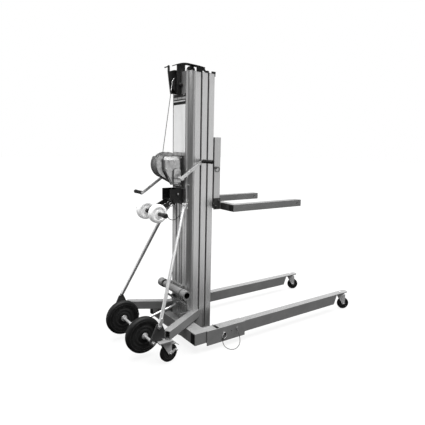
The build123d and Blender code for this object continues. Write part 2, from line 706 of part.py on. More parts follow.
# Outer layer of cable on the drum: one tube, a quarter turn to each arc, with straight ends
with BuildLine() as winding_route:
    Line(MEET_DRUM + CABLE_UP * WINDING_TAIL, MEET_DRUM)
    for quarter in range(4 * WINDING_TURNS):
        ThreePointArc(*(on_winding((quarter + step) / 4) for step in (0, 0.5, 1)))
    last = winding_route.line @ 1
    Line(last, last + (winding_route.line % 1) * 2 * CABLE_R)
cable_winding = cable_along(winding_route)
save(cable_winding, "cable_winding")
turn_points = [on_winding(step / 72) for step in range(72 * WINDING_TURNS + 1)]
least = min((a - b).length for i, a in enumerate(turn_points) for b in turn_points[i + 36 :])
print(f"cable winding: least gap between turns {least - 2 * CABLE_R:.2f} mm")


# Winch mount on the mast, and the frame: two flat-topped side plates on a base plate, with the drum's pin
MOUNT_HALF = 60.0
MOUNT_FOOT = 1120.0
MOUNT_TOP = 1346.0
WINCH_PLATE_RISE = 56.0
FRAME_MARGIN = 8.0
SHAFT_MARGIN = 40.0
COLLAR_R = 16.0
END_PLAY = 0.5
with BuildPart() as winch_mount:
    with BuildSketch(rear(0)):
        strip(-MOUNT_HALF, MOUNT_HALF, MOUNT_FOOT, MOUNT_TOP, Mode.ADD)
    extrude(amount=WINCH_MOUNT)
    chamfer(winch_mount.edges().group_by(Axis.Y)[0], 2 * SLIDE_PLAY)
save(winch_mount, "winch_mount")

FRAME_BACK = -WINCH_MOUNT - BASE_PLATE
with BuildPart() as winch_frame:
    with BuildSketch(rear(-WINCH_MOUNT)):
        base_half = WINCH_PLATE_X + PLATE_T
        strip(-base_half, base_half, MOUNT_FOOT + 3 * PLATE_T, MOUNT_TOP - 3 * PLATE_T, Mode.ADD)
    extrude(amount=BASE_PLATE)
    for plate_x in (-WINCH_PLATE_X - PLATE_T, WINCH_PLATE_X):
        with BuildSketch(side(plate_x)):
            disc(DRUM_Y, DRUM_Z, FLANGE_R + FRAME_MARGIN)
            disc(CRANK_Y, CRANK_Z, SHAFT_MARGIN - FRAME_MARGIN)
            strip(FRAME_BACK, -WINCH_MOUNT, MOUNT_FOOT + 3 * PLATE_T, MOUNT_TOP - 3 * PLATE_T, Mode.ADD)
            make_hull()
            strip(-WINCH_MOUNT, 0, MOUNT_FOOT, MOUNT_TOP)
            plate_top = DRUM_Z + WINCH_PLATE_RISE
            strip(DRUM_Y - 2 * FLANGE_R, -WINCH_MOUNT, plate_top, plate_top + FLANGE_R)
            disc(CRANK_Y, CRANK_Z, CRANK_R + RUN_PLAY, Mode.SUBTRACT)
        extrude(amount=PLATE_T)
    with BuildSketch(side(-WINCH_PLATE_X - 2 * PLATE_T)):
        disc(DRUM_Y, DRUM_Z, DRUM_PIN_R)
    extrude(amount=2 * WINCH_PLATE_X + 3 * PLATE_T)
    with BuildSketch(side(-WINCH_PLATE_X)):
        disc(DRUM_Y, DRUM_Z, COLLAR_R)
    extrude(amount=WINCH_PLATE_X + DRUM_LEFT - FLANGE_T - END_PLAY)
    with BuildSketch(side(DRUM_RIGHT + GEAR_WIDTH + END_PLAY)):
        disc(DRUM_Y, DRUM_Z, COLLAR_R)
    extrude(amount=WINCH_PLATE_X - DRUM_RIGHT - GEAR_WIDTH - END_PLAY)
    with BuildSketch(side(-WINCH_PLATE_X - PLATE_T - LEFT_BOSS)):
        disc(CRANK_Y, CRANK_Z, 2 * CRANK_R)
        disc(CRANK_Y, CRANK_Z, CRANK_R + RUN_PLAY, Mode.SUBTRACT)
    extrude(amount=LEFT_BOSS)
save(winch_frame, "winch_frame")

# Cover of the winch's brake with a sloping roof, and an arched boss that the crank's shaft comes out of
COVER_X = WINCH_PLATE_X + PLATE_T
COVER_FACE = COVER_X + COVER_THICKNESS
COVER_TOP = DRUM_Z + WINCH_PLATE_RISE
COVER_SLOPE = 22.0
with BuildPart() as winch_gear_cover:
    with BuildSketch(side(COVER_X)) as cover_outline:
        with BuildLine():
            Polyline(
                (CRANK_Y + 22, CRANK_Z - 45),
                (CRANK_Y + 22, CRANK_Z + 115),
                (DRUM_Y + 52, COVER_TOP),
                (DRUM_Y - 36, COVER_TOP),
                (DRUM_Y - 48, COVER_TOP - 20),
                (DRUM_Y - 44, DRUM_Z - 40),
                (CRANK_Y - 38, CRANK_Z - 45),
                close=True,
            )
        make_face()
        fillet(cover_outline.vertices(), 8)
    extrude(amount=COVER_THICKNESS)
    chamfer(winch_gear_cover.faces().sort_by(Axis.X)[-1].edges(), 4)
    with BuildSketch(rear(0)):
        with BuildLine():
            Polyline(
                (COVER_FACE, COVER_TOP),
                (COVER_FACE - COVER_SLOPE, COVER_TOP),
                (COVER_FACE, COVER_TOP - COVER_SLOPE),
                close=True,
            )
        make_face()
    extrude(amount=DRUM_SWEEP - DRUM_Y, mode=Mode.SUBTRACT)
    with BuildSketch(side(COVER_FACE)):
        strip(CRANK_Y - 34, CRANK_Y + 20, CRANK_Z - 30, CRANK_Z + 40, Mode.ADD)
        disc(CRANK_Y - 7, CRANK_Z + 40, 27)
    extrude(amount=BOSS_THICKNESS)
    with BuildSketch(side(COVER_X)):
        disc(CRANK_Y, CRANK_Z, CRANK_R + RUN_PLAY)
    extrude(amount=COVER_THICKNESS + BOSS_THICKNESS, mode=Mode.SUBTRACT)
save(winch_gear_cover, "winch_gear_cover")

# Crank: shaft with its pinion, two opposite arms and two turning grips
ARM_NEAR_X = HALF + CRANK_CLEARANCE
ARM_FAR_X = -ARM_NEAR_X
NUT_R = 14.0
NUT = 7.0
CAP = 3.0
REACH_Y = CRANK_LENGTH * cos(radians(CRANK_TURN))
REACH_Z = CRANK_LENGTH * sin(radians(CRANK_TURN))
with BuildPart() as crank_shaft:
    with BuildSketch(side(ARM_FAR_X - CRANK_BAR)):
        disc(CRANK_Y, CRANK_Z, CRANK_R)
    extrude(amount=ARM_NEAR_X - ARM_FAR_X + 2 * CRANK_BAR)
    for nut_x in (ARM_FAR_X - CRANK_BAR - NUT, ARM_NEAR_X + CRANK_BAR):
        with BuildSketch(side(nut_x)):
            with Locations((CRANK_Y, CRANK_Z)):
                RegularPolygon(NUT_R, 6)
        extrude(amount=NUT)
    with BuildSketch(side(DRUM_RIGHT)):
        with BuildLine():
            teeth(PINION_TEETH, MESH_ANGLE + pi + pi / PINION_TEETH, CRANK_Y, CRANK_Z)
        make_face()
    extrude(amount=GEAR_WIDTH)
save(crank_shaft, "crank_shaft")

with BuildPart() as crank_arms:
    for hand, low_x in ((1, ARM_NEAR_X), (-1, ARM_FAR_X - CRANK_BAR)):
        grip_y = CRANK_Y + hand * REACH_Y
        grip_z = CRANK_Z + hand * REACH_Z
        with BuildSketch(side(low_x)):
            disc(CRANK_Y, CRANK_Z, CRANK_BAR_WIDTH / 2)
            disc(grip_y, grip_z, CRANK_BAR_WIDTH / 2)
            make_hull()
            disc(CRANK_Y, CRANK_Z, CRANK_HUB_R)
            disc(CRANK_Y, CRANK_Z, CRANK_R, Mode.SUBTRACT)
        extrude(amount=CRANK_BAR)
        pin_length = GRIP_LENGTH + 2 * END_PLAY
        with BuildSketch(side(low_x + CRANK_BAR if hand > 0 else low_x)):
            disc(grip_y, grip_z, GRIP_PIN_R)
        extrude(amount=hand * pin_length)
        with BuildSketch(side(low_x + CRANK_BAR + pin_length if hand > 0 else low_x - pin_length)):
            disc(grip_y, grip_z, GRIP_R * 0.7)
        extrude(amount=hand * CAP)
save(crank_arms, "crank_arms")


def crank_grip(hand, arm_face):
    """Grip that turns on its pin, running outward from the face of a crank arm."""
    start = at(arm_face + hand * END_PLAY, CRANK_Y + hand * REACH_Y, CRANK_Z + hand * REACH_Z)
    bore = GRIP_PIN_R + RUN_PLAY
    with BuildPart() as grip:
        with BuildSketch(Plane(origin=start, x_dir=(hand, 0, 0), z_dir=(0, -hand, 0))):
            with BuildLine():
                Polyline((GRIP_R / 2, GRIP_R), (0, GRIP_R * 0.8), (0, bore), (GRIP_LENGTH, bore))
                Polyline((GRIP_LENGTH, bore), (GRIP_LENGTH, GRIP_R * 0.8), (GRIP_LENGTH - GRIP_R / 2, GRIP_R))
                ThreePointArc(
                    (GRIP_LENGTH - GRIP_R / 2, GRIP_R),
                    (GRIP_LENGTH / 2, GRIP_R * 0.9),
                    (GRIP_R / 2, GRIP_R),
                )
            make_face()
        revolve(axis=Axis(start, (1, 0, 0)))
    return grip


crank_grip_right = crank_grip(1, ARM_NEAR_X + CRANK_BAR)
save(crank_grip_right, "crank_grip_right")
crank_grip_left = crank_grip(-1, ARM_FAR_X - CRANK_BAR)
save(crank_grip_left, "crank_grip_left")

# Loading wheels: a box bracket on the mast, two arms down to the axle, wheels and hand knobs
PIVOT_Y = -72.0
PIVOT_Z = 1030.0
PIVOT_R = 8.0
LOADING_ARM_R = 15.0
KNOB_R = 13.0
KNOB_END = 12.0
with BuildPart() as loading_bracket:
    with BuildSketch(rear(0)):
        strip(-LOADING_BOX_HALF, LOADING_BOX_HALF, LOADING_BOX_BOTTOM, LOADING_BOX_TOP, Mode.ADD)
    extrude(amount=SHEET)
    for plate_x in (-LOADING_BOX_HALF, LOADING_BOX_HALF - SHEET):
        with BuildSketch(side(plate_x)) as box_side:
            strip(-LOADING_BOX_DEPTH, 0, LOADING_BOX_BOTTOM, LOADING_BOX_TOP, Mode.ADD)
            disc(PIVOT_Y / 2, LOADING_BOX_BOTTOM, 2 * LOADING_ARM_R, Mode.SUBTRACT)
            chamfer(box_side.vertices().group_by(Axis.X)[0].sort_by(Axis.Y)[0], 2 * LOADING_ARM_R)
        extrude(amount=SHEET)
    for plate_x in (-LOADING_ARM_X - SHEET, LOADING_ARM_X):
        with BuildSketch(side(plate_x)):
            disc(PIVOT_Y, PIVOT_Z, LOADING_ARM_R)
            disc(LOADING_Y, LOADING_Z, LOADING_ARM_R)
            make_hull()
            disc(LOADING_Y, LOADING_Z, LOADING_AXLE_R, Mode.SUBTRACT)
        extrude(amount=SHEET)
    with BuildSketch(side(-LOADING_BOX_HALF - 2 * SHEET)):
        disc(PIVOT_Y, PIVOT_Z, PIVOT_R)
    extrude(amount=2 * LOADING_BOX_HALF + 4 * SHEET)
    for head_x in (-LOADING_BOX_HALF - 2 * SHEET, LOADING_BOX_HALF):
        with BuildSketch(side(head_x)):
            with Locations((PIVOT_Y, PIVOT_Z)):
                RegularPolygon(1.7 * PIVOT_R, 6)
        extrude(amount=2 * SHEET)
save(loading_bracket, "loading_bracket")

WHEEL_INNER = LOADING_WHEEL_X - LOADING_WHEEL_WIDTH / 2
WHEEL_OUTER = LOADING_WHEEL_X + LOADING_WHEEL_WIDTH / 2
with BuildPart() as loading_axle:
    with BuildSketch(side(-LOADING_REACH)):
        disc(LOADING_Y, LOADING_Z, LOADING_AXLE_R)
    extrude(amount=2 * LOADING_REACH)
    collar_x = LOADING_ARM_X + SHEET
    with BuildSketch(side(collar_x)):
        disc(LOADING_Y, LOADING_Z, LOADING_ARM_R)
    extrude(amount=WHEEL_INNER - END_PLAY - collar_x)
    with BuildSketch(side(WHEEL_OUTER + END_PLAY)):
        disc(LOADING_Y, LOADING_Z, KNOB_R)
    extrude(amount=LOADING_REACH - KNOB_END - WHEEL_OUTER - END_PLAY)
    with BuildSketch(side(LOADING_REACH - 2 * KNOB_END)):
        disc(LOADING_Y, LOADING_Z, KNOB_R * 1.3)
    extrude(amount=2 * KNOB_END)
    fillet(loading_axle.faces().sort_by(Axis.X)[-1].edges(), KNOB_END / 3)
    mirror(about=Plane.YZ)
save(loading_axle, "loading_axle")


def loading_wheel(centre_x):
    """White roller wheel with a rounded tread and a sunk hub face."""
    half = LOADING_WHEEL_WIDTH / 2
    bore = LOADING_AXLE_R + RUN_PLAY
    start = at(centre_x, LOADING_Y, LOADING_Z)
    with BuildPart() as wheel:
        with BuildSketch(Plane(origin=start, x_dir=(1, 0, 0), z_dir=(0, -1, 0))) as section:
            with Locations((0, (bore + LOADING_WHEEL_R) / 2)):
                Rectangle(LOADING_WHEEL_WIDTH, LOADING_WHEEL_R - bore)
            fillet(section.vertices().group_by(Axis.Y)[-1], half * 0.6)
            for sign in (-1, 1):
                with Locations((sign * half, LOADING_WHEEL_R * 0.55)):
                    Rectangle(half * 0.4, LOADING_WHEEL_R * 0.3, mode=Mode.SUBTRACT)
        revolve(axis=Axis(start, (1, 0, 0)))
    return wheel


loading_wheel_right = loading_wheel(LOADING_WHEEL_X)
save(loading_wheel_right, "loading_wheel_right")
loading_wheel_left = loading_wheel(-LOADING_WHEEL_X)
save(loading_wheel_left, "loading_wheel_left")

# Base frame: cross tube, stubs and side rails in one weldment, with the mast's cheeks and foot plate
CHEEK_RELIEF = 1.0
STUB_INNER = HALF + MAST_CHEEK
RAIL_INNER = BASE_HALF - TUBE_WIDTH
FOOT_PLATE = 6.0
CROSS_FRONT = -2.0
with BuildPart() as base_frame:
    with BuildSketch(plan(TUBE_BOTTOM)):
        strip(-BASE_HALF, BASE_HALF, CROSS_REAR, CROSS_FRONT, Mode.ADD)
        for sign in (-1, 1):
            strip(*sorted((sign * STUB_INNER, sign * BASE_HALF)), CROSS_REAR, STUB_FRONT, Mode.ADD)
            strip(*sorted((sign * RAIL_INNER, sign * BASE_HALF)), CROSS_REAR, RAIL_FRONT, Mode.ADD)
    extrude(amount=TUBE_TOP - TUBE_BOTTOM)
    with BuildSketch(plan(TUBE_BOTTOM + TUBE_WALL)):
        back_in = CROSS_REAR + TUBE_WALL
        side_in = BASE_HALF - TUBE_WALL
        strip(-side_in, side_in, back_in, CROSS_FRONT - TUBE_WALL, Mode.ADD)
        for sign in (-1, 1):
            stub = sorted((sign * (STUB_INNER + TUBE_WALL), sign * side_in))
            rail = sorted((sign * (RAIL_INNER + TUBE_WALL), sign * side_in))
            strip(*stub, back_in, STUB_FRONT - TUBE_WALL, Mode.ADD)
            strip(*rail, back_in, RAIL_FRONT, Mode.ADD)
    extrude(amount=TUBE_TOP - TUBE_BOTTOM - 2 * TUBE_WALL, mode=Mode.SUBTRACT)
    for cheek_x in (-STUB_INNER, HALF):
        with BuildSketch(side(cheek_x)):
            with BuildLine():
                Polyline(
                    (CROSS_REAR, TUBE_BOTTOM),
                    (MAST_CHEEK_FRONT, TUBE_BOTTOM),
                    (MAST_CHEEK_FRONT, TUBE_TOP + 30),
                    (OUTER_FRONT, MAST_CHEEK_TOP),
                    (CROSS_REAR, MAST_CHEEK_TOP),
                    close=True,
                )
            make_face()
        extrude(amount=MAST_CHEEK)
    with BuildSketch(plan(TUBE_BOTTOM)):
        relief = HALF + CHEEK_RELIEF
        strip(-relief, relief, OUTER_FRONT, MAST_CHEEK_FRONT, Mode.ADD)
    extrude(amount=MAST_CHEEK_TOP - TUBE_BOTTOM, mode=Mode.SUBTRACT)
    with BuildSketch(plan(MAST_FOOT - FOOT_PLATE)):
        strip(-HALF, HALF, CROSS_REAR, BACK_CARRIAGE - SECTION_GAP, Mode.ADD)
        strip(-STUB_INNER, STUB_INNER, CROSS_REAR, OUTER_FRONT, Mode.ADD)
    extrude(amount=FOOT_PLATE)
save(base_frame, "base_frame")

# Sleeves: two side plates and a floor on each rail, which hold the removable legs
SLEEVE_OUTER = BASE_HALF + SLEEVE_WALL
SLEEVE_INNER = RAIL_INNER - SLEEVE_WALL
SPARE_PIN_Y = LEG_PIN_Y + 67.0
with BuildPart() as leg_sleeves:
    with BuildSketch(plan(SLEEVE_BOTTOM)):
        strip(BASE_HALF, SLEEVE_OUTER, SLEEVE_REAR, SLEEVE_FRONT, Mode.ADD)
        strip(SLEEVE_INNER, RAIL_INNER, STUB_FRONT, SLEEVE_FRONT, Mode.ADD)
    extrude(amount=TUBE_TOP - SLEEVE_BOTTOM)
    with BuildSketch(plan(TUBE_BOTTOM - SLEEVE_FLOOR)):
        strip(SLEEVE_INNER, SLEEVE_OUTER, STUB_FRONT, SLEEVE_FRONT, Mode.ADD)
    extrude(amount=SLEEVE_FLOOR)
    with BuildSketch(side(SLEEVE_INNER)):
        disc(LEG_PIN_Y, LEG_PIN_Z, LEG_PIN_R + RUN_PLAY)
        disc(SPARE_PIN_Y, LEG_PIN_Z, LEG_PIN_R + RUN_PLAY)
    extrude(amount=SLEEVE_OUTER - SLEEVE_INNER, mode=Mode.SUBTRACT)
    mirror(about=Plane.YZ)
save(leg_sleeves, "leg_sleeves")

# Leg: a tube with a slanted closed end, and the flat tongue over the front caster that is welded to its head
LEG_X = (RAIL_INNER + BASE_HALF) / 2
TONGUE_BOTTOM = TUBE_TOP - LEG_PLATE
with BuildSketch(side(RAIL_INNER)) as leg_outline:
    with BuildLine():
        Polyline(
            (LEG_REAR, TUBE_BOTTOM),
            (LEG_FRONT - LEG_SLANT, TUBE_BOTTOM),
            (LEG_FRONT, TUBE_TOP),
            (LEG_REAR, TUBE_TOP),
            close=True,
        )
    make_face()
with BuildPart() as leg_tube:
    extrude(leg_outline.sketch, amount=TUBE_WIDTH)
    with BuildSketch(side(RAIL_INNER + TUBE_WALL)):
        with BuildLine():
            Polyline(
                (LEG_REAR, TUBE_BOTTOM + TUBE_WALL),
                (LEG_FRONT - LEG_SLANT - TUBE_WALL, TUBE_BOTTOM + TUBE_WALL),
                (LEG_FRONT - 2 * TUBE_WALL, TUBE_TOP - TUBE_WALL),
                (LEG_REAR, TUBE_TOP - TUBE_WALL),
                close=True,
            )
        make_face()
    extrude(amount=TUBE_WIDTH - 2 * TUBE_WALL, mode=Mode.SUBTRACT)
    with BuildSketch(side(RAIL_INNER)):
        disc(LEG_PIN_Y, LEG_PIN_Z, LEG_PIN_R + RUN_PLAY)
        disc(SPARE_PIN_Y, LEG_PIN_Z, LEG_PIN_R + RUN_PLAY)
    extrude(amount=TUBE_WIDTH, mode=Mode.SUBTRACT)
with BuildPart() as leg_tongue:
    with BuildSketch(plan(TONGUE_BOTTOM)) as tongue_outline:
        strip(RAIL_INNER, BASE_HALF, LEG_FRONT - LEG_SLANT, LEG_TIP, Mode.ADD)
        chamfer(tongue_outline.vertices().group_by(Axis.Y)[-1], 2 * LEG_PLATE)
        disc(LEG_X, FRONT_SWIVEL_Y, KINGPIN_R + RUN_PLAY, Mode.SUBTRACT)
    extrude(amount=LEG_PLATE)
    extrude(leg_outline.sketch, amount=TUBE_WIDTH, mode=Mode.SUBTRACT)
leg_right = Part([leg_tube.solid(), leg_tongue.solid()])
save(leg_right, "leg_right")
leg_left = Part([mirror(solid, about=Plane.YZ).solid() for solid in leg_right.solids()])
save(leg_left, "leg_left")

# Rear arms: tubes from the mast's cheeks out to the rear casters, with the casters' plates
ARM_RUN = hypot(ARM_REAR_X - ARM_FRONT_X, ARM_REAR_Y - ARM_FRONT_Y)
ARM_ALONG_X = (ARM_REAR_X - ARM_FRONT_X) / ARM_RUN
ARM_ALONG_Y = (ARM_REAR_Y - ARM_FRONT_Y) / ARM_RUN
ARM_EXTRA = 80.0
with BuildPart() as rear_arms:
    arm_start = at(
        ARM_FRONT_X - ARM_EXTRA * ARM_ALONG_X,
        ARM_FRONT_Y - ARM_EXTRA * ARM_ALONG_Y,
        (ARM_BOTTOM + ARM_TOP) / 2,
    )
    with BuildSketch(Plane(origin=arm_start, x_dir=(0, 0, 1), z_dir=(ARM_ALONG_X, ARM_ALONG_Y, 0))):
        Rectangle(ARM_TOP - ARM_BOTTOM, ARM_WIDTH)
        Rectangle(ARM_TOP - ARM_BOTTOM - 2 * TUBE_WALL, ARM_WIDTH - 2 * TUBE_WALL, mode=Mode.SUBTRACT)
    extrude(amount=ARM_RUN + ARM_EXTRA)
    with BuildSketch(plan(ARM_BOTTOM)):
        strip(-BASE_HALF, STUB_INNER, CROSS_REAR, BASE_HALF, Mode.ADD)
    extrude(amount=ARM_TOP - ARM_BOTTOM, mode=Mode.SUBTRACT)
    with BuildSketch(plan(ARM_BOTTOM - CASTER_PLATE)):
        with Locations((REAR_SWIVEL_X, REAR_SWIVEL_Y)):
            Rectangle(CASTER_PLATE_WIDTH, CASTER_PLATE_LENGTH)
            Circle(KINGPIN_R + RUN_PLAY, mode=Mode.SUBTRACT)
    extrude(amount=CASTER_PLATE)
    mirror(about=Plane.YZ)
save(rear_arms, "rear_arms")

# Brackets at the arms' rear ends: they stand on the casters' plates and hold the axle and the braces
BRACKET_OUT = BRACKET_X + BRACKET_PLATE
BRACKET_FRONT = -281.0
BRACKET_NOTCH = 14.0
BRACKET_TOP = BRACE_FOOT_Z + 16.0
with BuildPart() as axle_brackets:
    with BuildSketch(side(BRACKET_X)):
        with BuildLine():
            Polyline(
                (BRACKET_FRONT, ARM_BOTTOM + BRACKET_NOTCH),
                (BRACKET_FRONT, ARM_TOP),
                (BRACE_FOOT_Y + 20, BRACKET_TOP),
                (BRACE_FOOT_Y - 16, BRACKET_TOP),
                (AXLE_Y - 20, AXLE_Z + 10),
                (AXLE_Y, AXLE_Z),
                (REAR_SWIVEL_Y - BRACKET_NOTCH, ARM_BOTTOM),
                (REAR_SWIVEL_Y - BRACKET_NOTCH, ARM_BOTTOM + BRACKET_NOTCH),
                close=True,
            )
        make_face()
        disc(AXLE_Y, AXLE_Z, 2 * AXLE_R)
        disc(AXLE_Y, AXLE_Z, AXLE_R, Mode.SUBTRACT)
    extrude(amount=BRACKET_PLATE)
    mirror(about=Plane.YZ)
save(axle_brackets, "axle_brackets")

# Transport wheels on a through axle, and the strut that ties the axle to the mast
HUB_R = 16.0
with BuildPart() as transport_axle:
    with BuildSketch(side(-BRACKET_OUT - BRACKET_PLATE)):
        disc(AXLE_Y, AXLE_Z, AXLE_R)
    extrude(amount=2 * (BRACKET_OUT + BRACKET_PLATE))
    for low, high in (
        (TRANSPORT_X - TRANSPORT_WIDTH / 2 - HUB_R, TRANSPORT_X - TRANSPORT_WIDTH / 2 - END_PLAY),
        (TRANSPORT_X + TRANSPORT_WIDTH / 2 + END_PLAY, BRACKET_X),
    ):
        for start in (low, -high):
            with BuildSketch(side(start)):
                disc(AXLE_Y, AXLE_Z, HUB_R)
            extrude(amount=high - low)
save(transport_axle, "transport_axle")


def transport_wheel(centre_x):
    """Rubber-tyred wheel: a rounded tread, a dished web and a hub on the axle."""
    half = TRANSPORT_WIDTH / 2
    bore = AXLE_R + RUN_PLAY
    start = at(centre_x, AXLE_Y, AXLE_Z)
    with BuildPart() as wheel:
        with BuildSketch(Plane(origin=start, x_dir=(1, 0, 0), z_dir=(0, -1, 0))) as section:
            with Locations((0, (bore + TRANSPORT_R) / 2)):
                Rectangle(TRANSPORT_WIDTH, TRANSPORT_R - bore)
            fillet(section.vertices().group_by(Axis.Y)[-1], half * 0.7)
            for sign in (-1, 1):
                with Locations((sign * half, TRANSPORT_R * 0.5)):
                    Rectangle(half * 0.7, TRANSPORT_R * 0.42, mode=Mode.SUBTRACT)
        revolve(axis=Axis(start, (1, 0, 0)))
    return wheel


transport_wheel_right = transport_wheel(TRANSPORT_X)
save(transport_wheel_right, "transport_wheel_right")
transport_wheel_left = transport_wheel(-TRANSPORT_X)
save(transport_wheel_left, "transport_wheel_left")

STRUT_EYE = 14.0
STRUT_LUG = 30.0
with BuildPart() as axle_strut:
    strut_foot = at(0, AXLE_Y, AXLE_Z)
    strut_head = at(0, -STRUT_LUG / 2, STRUT_TOP_Z)
    with BuildSketch(Plane(origin=strut_foot, z_dir=strut_head - strut_foot)):
        Circle(STRUT_R)
    extrude(amount=(strut_head - strut_foot).length)
    with BuildSketch(side(-STRUT_EYE)):
        disc(AXLE_Y, AXLE_Z, 2 * AXLE_R)
    extrude(amount=2 * STRUT_EYE)
    with BuildSketch(side(-STRUT_EYE)):
        disc(AXLE_Y, AXLE_Z, AXLE_R)
    extrude(amount=2 * STRUT_EYE, mode=Mode.SUBTRACT)
    with BuildSketch(rear(0)):
        strip(-STRUT_EYE, STRUT_EYE, STRUT_TOP_Z - STRUT_LUG / 2, STRUT_TOP_Z + STRUT_LUG / 2, Mode.ADD)
    extrude(amount=STRUT_LUG)
save(axle_strut, "axle_strut")

# Braces from lugs on the mast down to the axle brackets
TAB = 6.0
TAB_R = 14.0
TAB_REACH = 30.0
LUG_REACH = 30.0
BRACE_TOP_Y = -16.0
with BuildPart() as braces:
    brace_foot = at(BRACKET_OUT + TAB / 2, BRACE_FOOT_Y, BRACE_FOOT_Z)
    brace_head = at(BRACE_TOP_X, BRACE_TOP_Y, BRACE_TOP_Z)
    brace_way = (brace_head - brace_foot).normalized()
    with BuildSketch(Plane(origin=brace_foot + brace_way * TAB_REACH, z_dir=brace_way)):
        Circle(BRACE_R)
    extrude(amount=(brace_head - brace_foot).length - 2 * TAB_REACH)
    for end, reach, low in ((brace_foot, 1, BRACKET_OUT), (brace_head, -1, BRACE_TOP_X - TAB / 2)):
        neck = end + brace_way * reach * 1.5 * TAB_REACH
        with BuildSketch(side(low)):
            disc(end.Y - MAST_Y, end.Z, TAB_R)
            disc(neck.Y - MAST_Y, neck.Z, BRACE_R)
            make_hull()
        extrude(amount=TAB)
    lug_x = BRACE_TOP_X - TAB / 2
    with BuildSketch(side(lug_x - TAB)):
        strip(-LUG_REACH, 0, BRACE_TOP_Z - TAB_R, BRACE_TOP_Z + TAB_R, Mode.ADD)
    extrude(amount=TAB)
    with BuildSketch(rear(0)):
        lug_inner = HALF - COLUMN_WIDTH - 3 * TAB
        strip(lug_inner, lug_x, BRACE_TOP_Z - TAB_R, BRACE_TOP_Z + TAB_R, Mode.ADD)
    extrude(amount=TAB)
    mirror(about=Plane.YZ)
save(braces, "braces")


def caster_frame(swivel_x, swivel_y, yaw):
    """Upright frame of a caster: local x along its axle, local y the way its wheel trails."""
    turn = radians(yaw)
    return Plane(origin=at(swivel_x, swivel_y, 0), x_dir=(cos(turn), sin(turn), 0), z_dir=(0, 0, 1))


def caster_fork(frame, mount_z, plate, wheel_r, wheel_width, trail, ear):
    """Swivel fork: kingpin through the mounting plate, bearing, crown, two legs and the axle pin."""
    inner = wheel_width / 2 + CASTER_PLAY
    outer = inner + FORK_SHEET
    crown_top = mount_z - SWIVEL_PLAY - 2 * FORK_SHEET
    crown_back = -4 * KINGPIN_R
    crown_front = trail + 2 * CASTER_AXLE_R
    if ear is not None:
        with BuildSketch() as ear_outline:
            strip(0, crown_front, crown_top - 2 * FORK_SHEET, crown_top, Mode.ADD)
            disc(*ear, PEDAL_HUB)
            make_hull()
    with BuildPart() as fork:
        with BuildSketch(frame.offset(crown_top)):
            Circle(3.2 * KINGPIN_R)
        extrude(amount=2 * FORK_SHEET)
        with BuildSketch(frame.offset(crown_top)):
            Circle(KINGPIN_R)
        extrude(amount=2 * FORK_SHEET + 2 * SWIVEL_PLAY + plate)
        with BuildSketch(frame.offset(mount_z + plate + SWIVEL_PLAY)):
            RegularPolygon(1.6 * KINGPIN_R, 6)
        extrude(amount=KINGPIN_R)
        with BuildSketch(frame.offset(crown_top - FORK_SHEET)):
            strip(-outer, outer, crown_back, crown_front, Mode.ADD)
        extrude(amount=FORK_SHEET)
        for low in (-outer, inner):
            leg_plane = Plane(
                origin=frame.origin + frame.x_dir * low, x_dir=frame.y_dir, z_dir=frame.x_dir
            )
            with BuildSketch(leg_plane):
                strip(crown_back, crown_front, crown_top - 2 * FORK_SHEET, crown_top, Mode.ADD)
                disc(trail, wheel_r, 2 * CASTER_AXLE_R)
                make_hull()
                if ear is not None:
                    add(ear_outline.sketch)
            extrude(amount=FORK_SHEET)
        axle_plane = Plane(
            origin=frame.origin - frame.x_dir * (outer + FORK_SHEET), x_dir=frame.y_dir, z_dir=frame.x_dir
        )
        with BuildSketch(axle_plane):
            disc(trail, wheel_r, CASTER_AXLE_R)
        extrude(amount=2 * (outer + FORK_SHEET))
        if ear is not None:
            with BuildSketch(axle_plane):
                disc(*ear, PEDAL_PIN_R)
            extrude(amount=2 * (outer + FORK_SHEET))
    return fork


def caster_wheel(frame, wheel_r, width, trail):
    """Solid rubber wheel with a rounded tread and sunk sides."""
    half = width / 2
    bore = CASTER_AXLE_R + RUN_PLAY
    start = frame.origin + frame.y_dir * trail + Vector(0, 0, wheel_r)
    with BuildPart() as wheel:
        with BuildSketch(Plane(origin=start, x_dir=frame.x_dir, z_dir=-frame.y_dir)) as section:
            with Locations((0, (bore + wheel_r) / 2)):
                Rectangle(width, wheel_r - bore)
            fillet(section.vertices().group_by(Axis.Y)[-1], half * 0.6)
            for sign in (-1, 1):
                with Locations((sign * half, wheel_r * 0.52)):
                    Rectangle(half * 0.5, wheel_r * 0.36, mode=Mode.SUBTRACT)
        revolve(axis=Axis(start, frame.x_dir))
    return wheel


PEDAL_HUB = 8.0
PEDAL_PIN_R = 4.0
PEDAL_SHEET = 5.0
PEDAL_REACH = 34.0
PEDAL_DROP = 24.0
PEDAL_RISE = 62.8
PEDAL_LEAD = 36.3
PEDAL_PIVOT_Y = REAR_TRAIL + PEDAL_LEAD
PEDAL_PIVOT_Z = REAR_CASTER_R + PEDAL_RISE


def brake_pedal(frame):
    """Foot pedal of a caster's brake: a hub between the fork's ears and a sloping tread plate."""
    half = REAR_CASTER_WIDTH / 2 + CASTER_PLAY - END_PLAY
    plane = Plane(origin=frame.origin - frame.x_dir * half, x_dir=frame.y_dir, z_dir=frame.x_dir)
    with BuildPart() as pedal:
        with BuildSketch(plane):
            disc(PEDAL_PIVOT_Y, PEDAL_PIVOT_Z, PEDAL_SHEET / 2)
            disc(PEDAL_PIVOT_Y + PEDAL_REACH, PEDAL_PIVOT_Z - PEDAL_DROP, PEDAL_SHEET / 2)
            make_hull()
            disc(PEDAL_PIVOT_Y, PEDAL_PIVOT_Z, PEDAL_HUB)
            disc(PEDAL_PIVOT_Y, PEDAL_PIVOT_Z, PEDAL_PIN_R + RUN_PLAY, Mode.SUBTRACT)
        extrude(amount=2 * half)
    return pedal


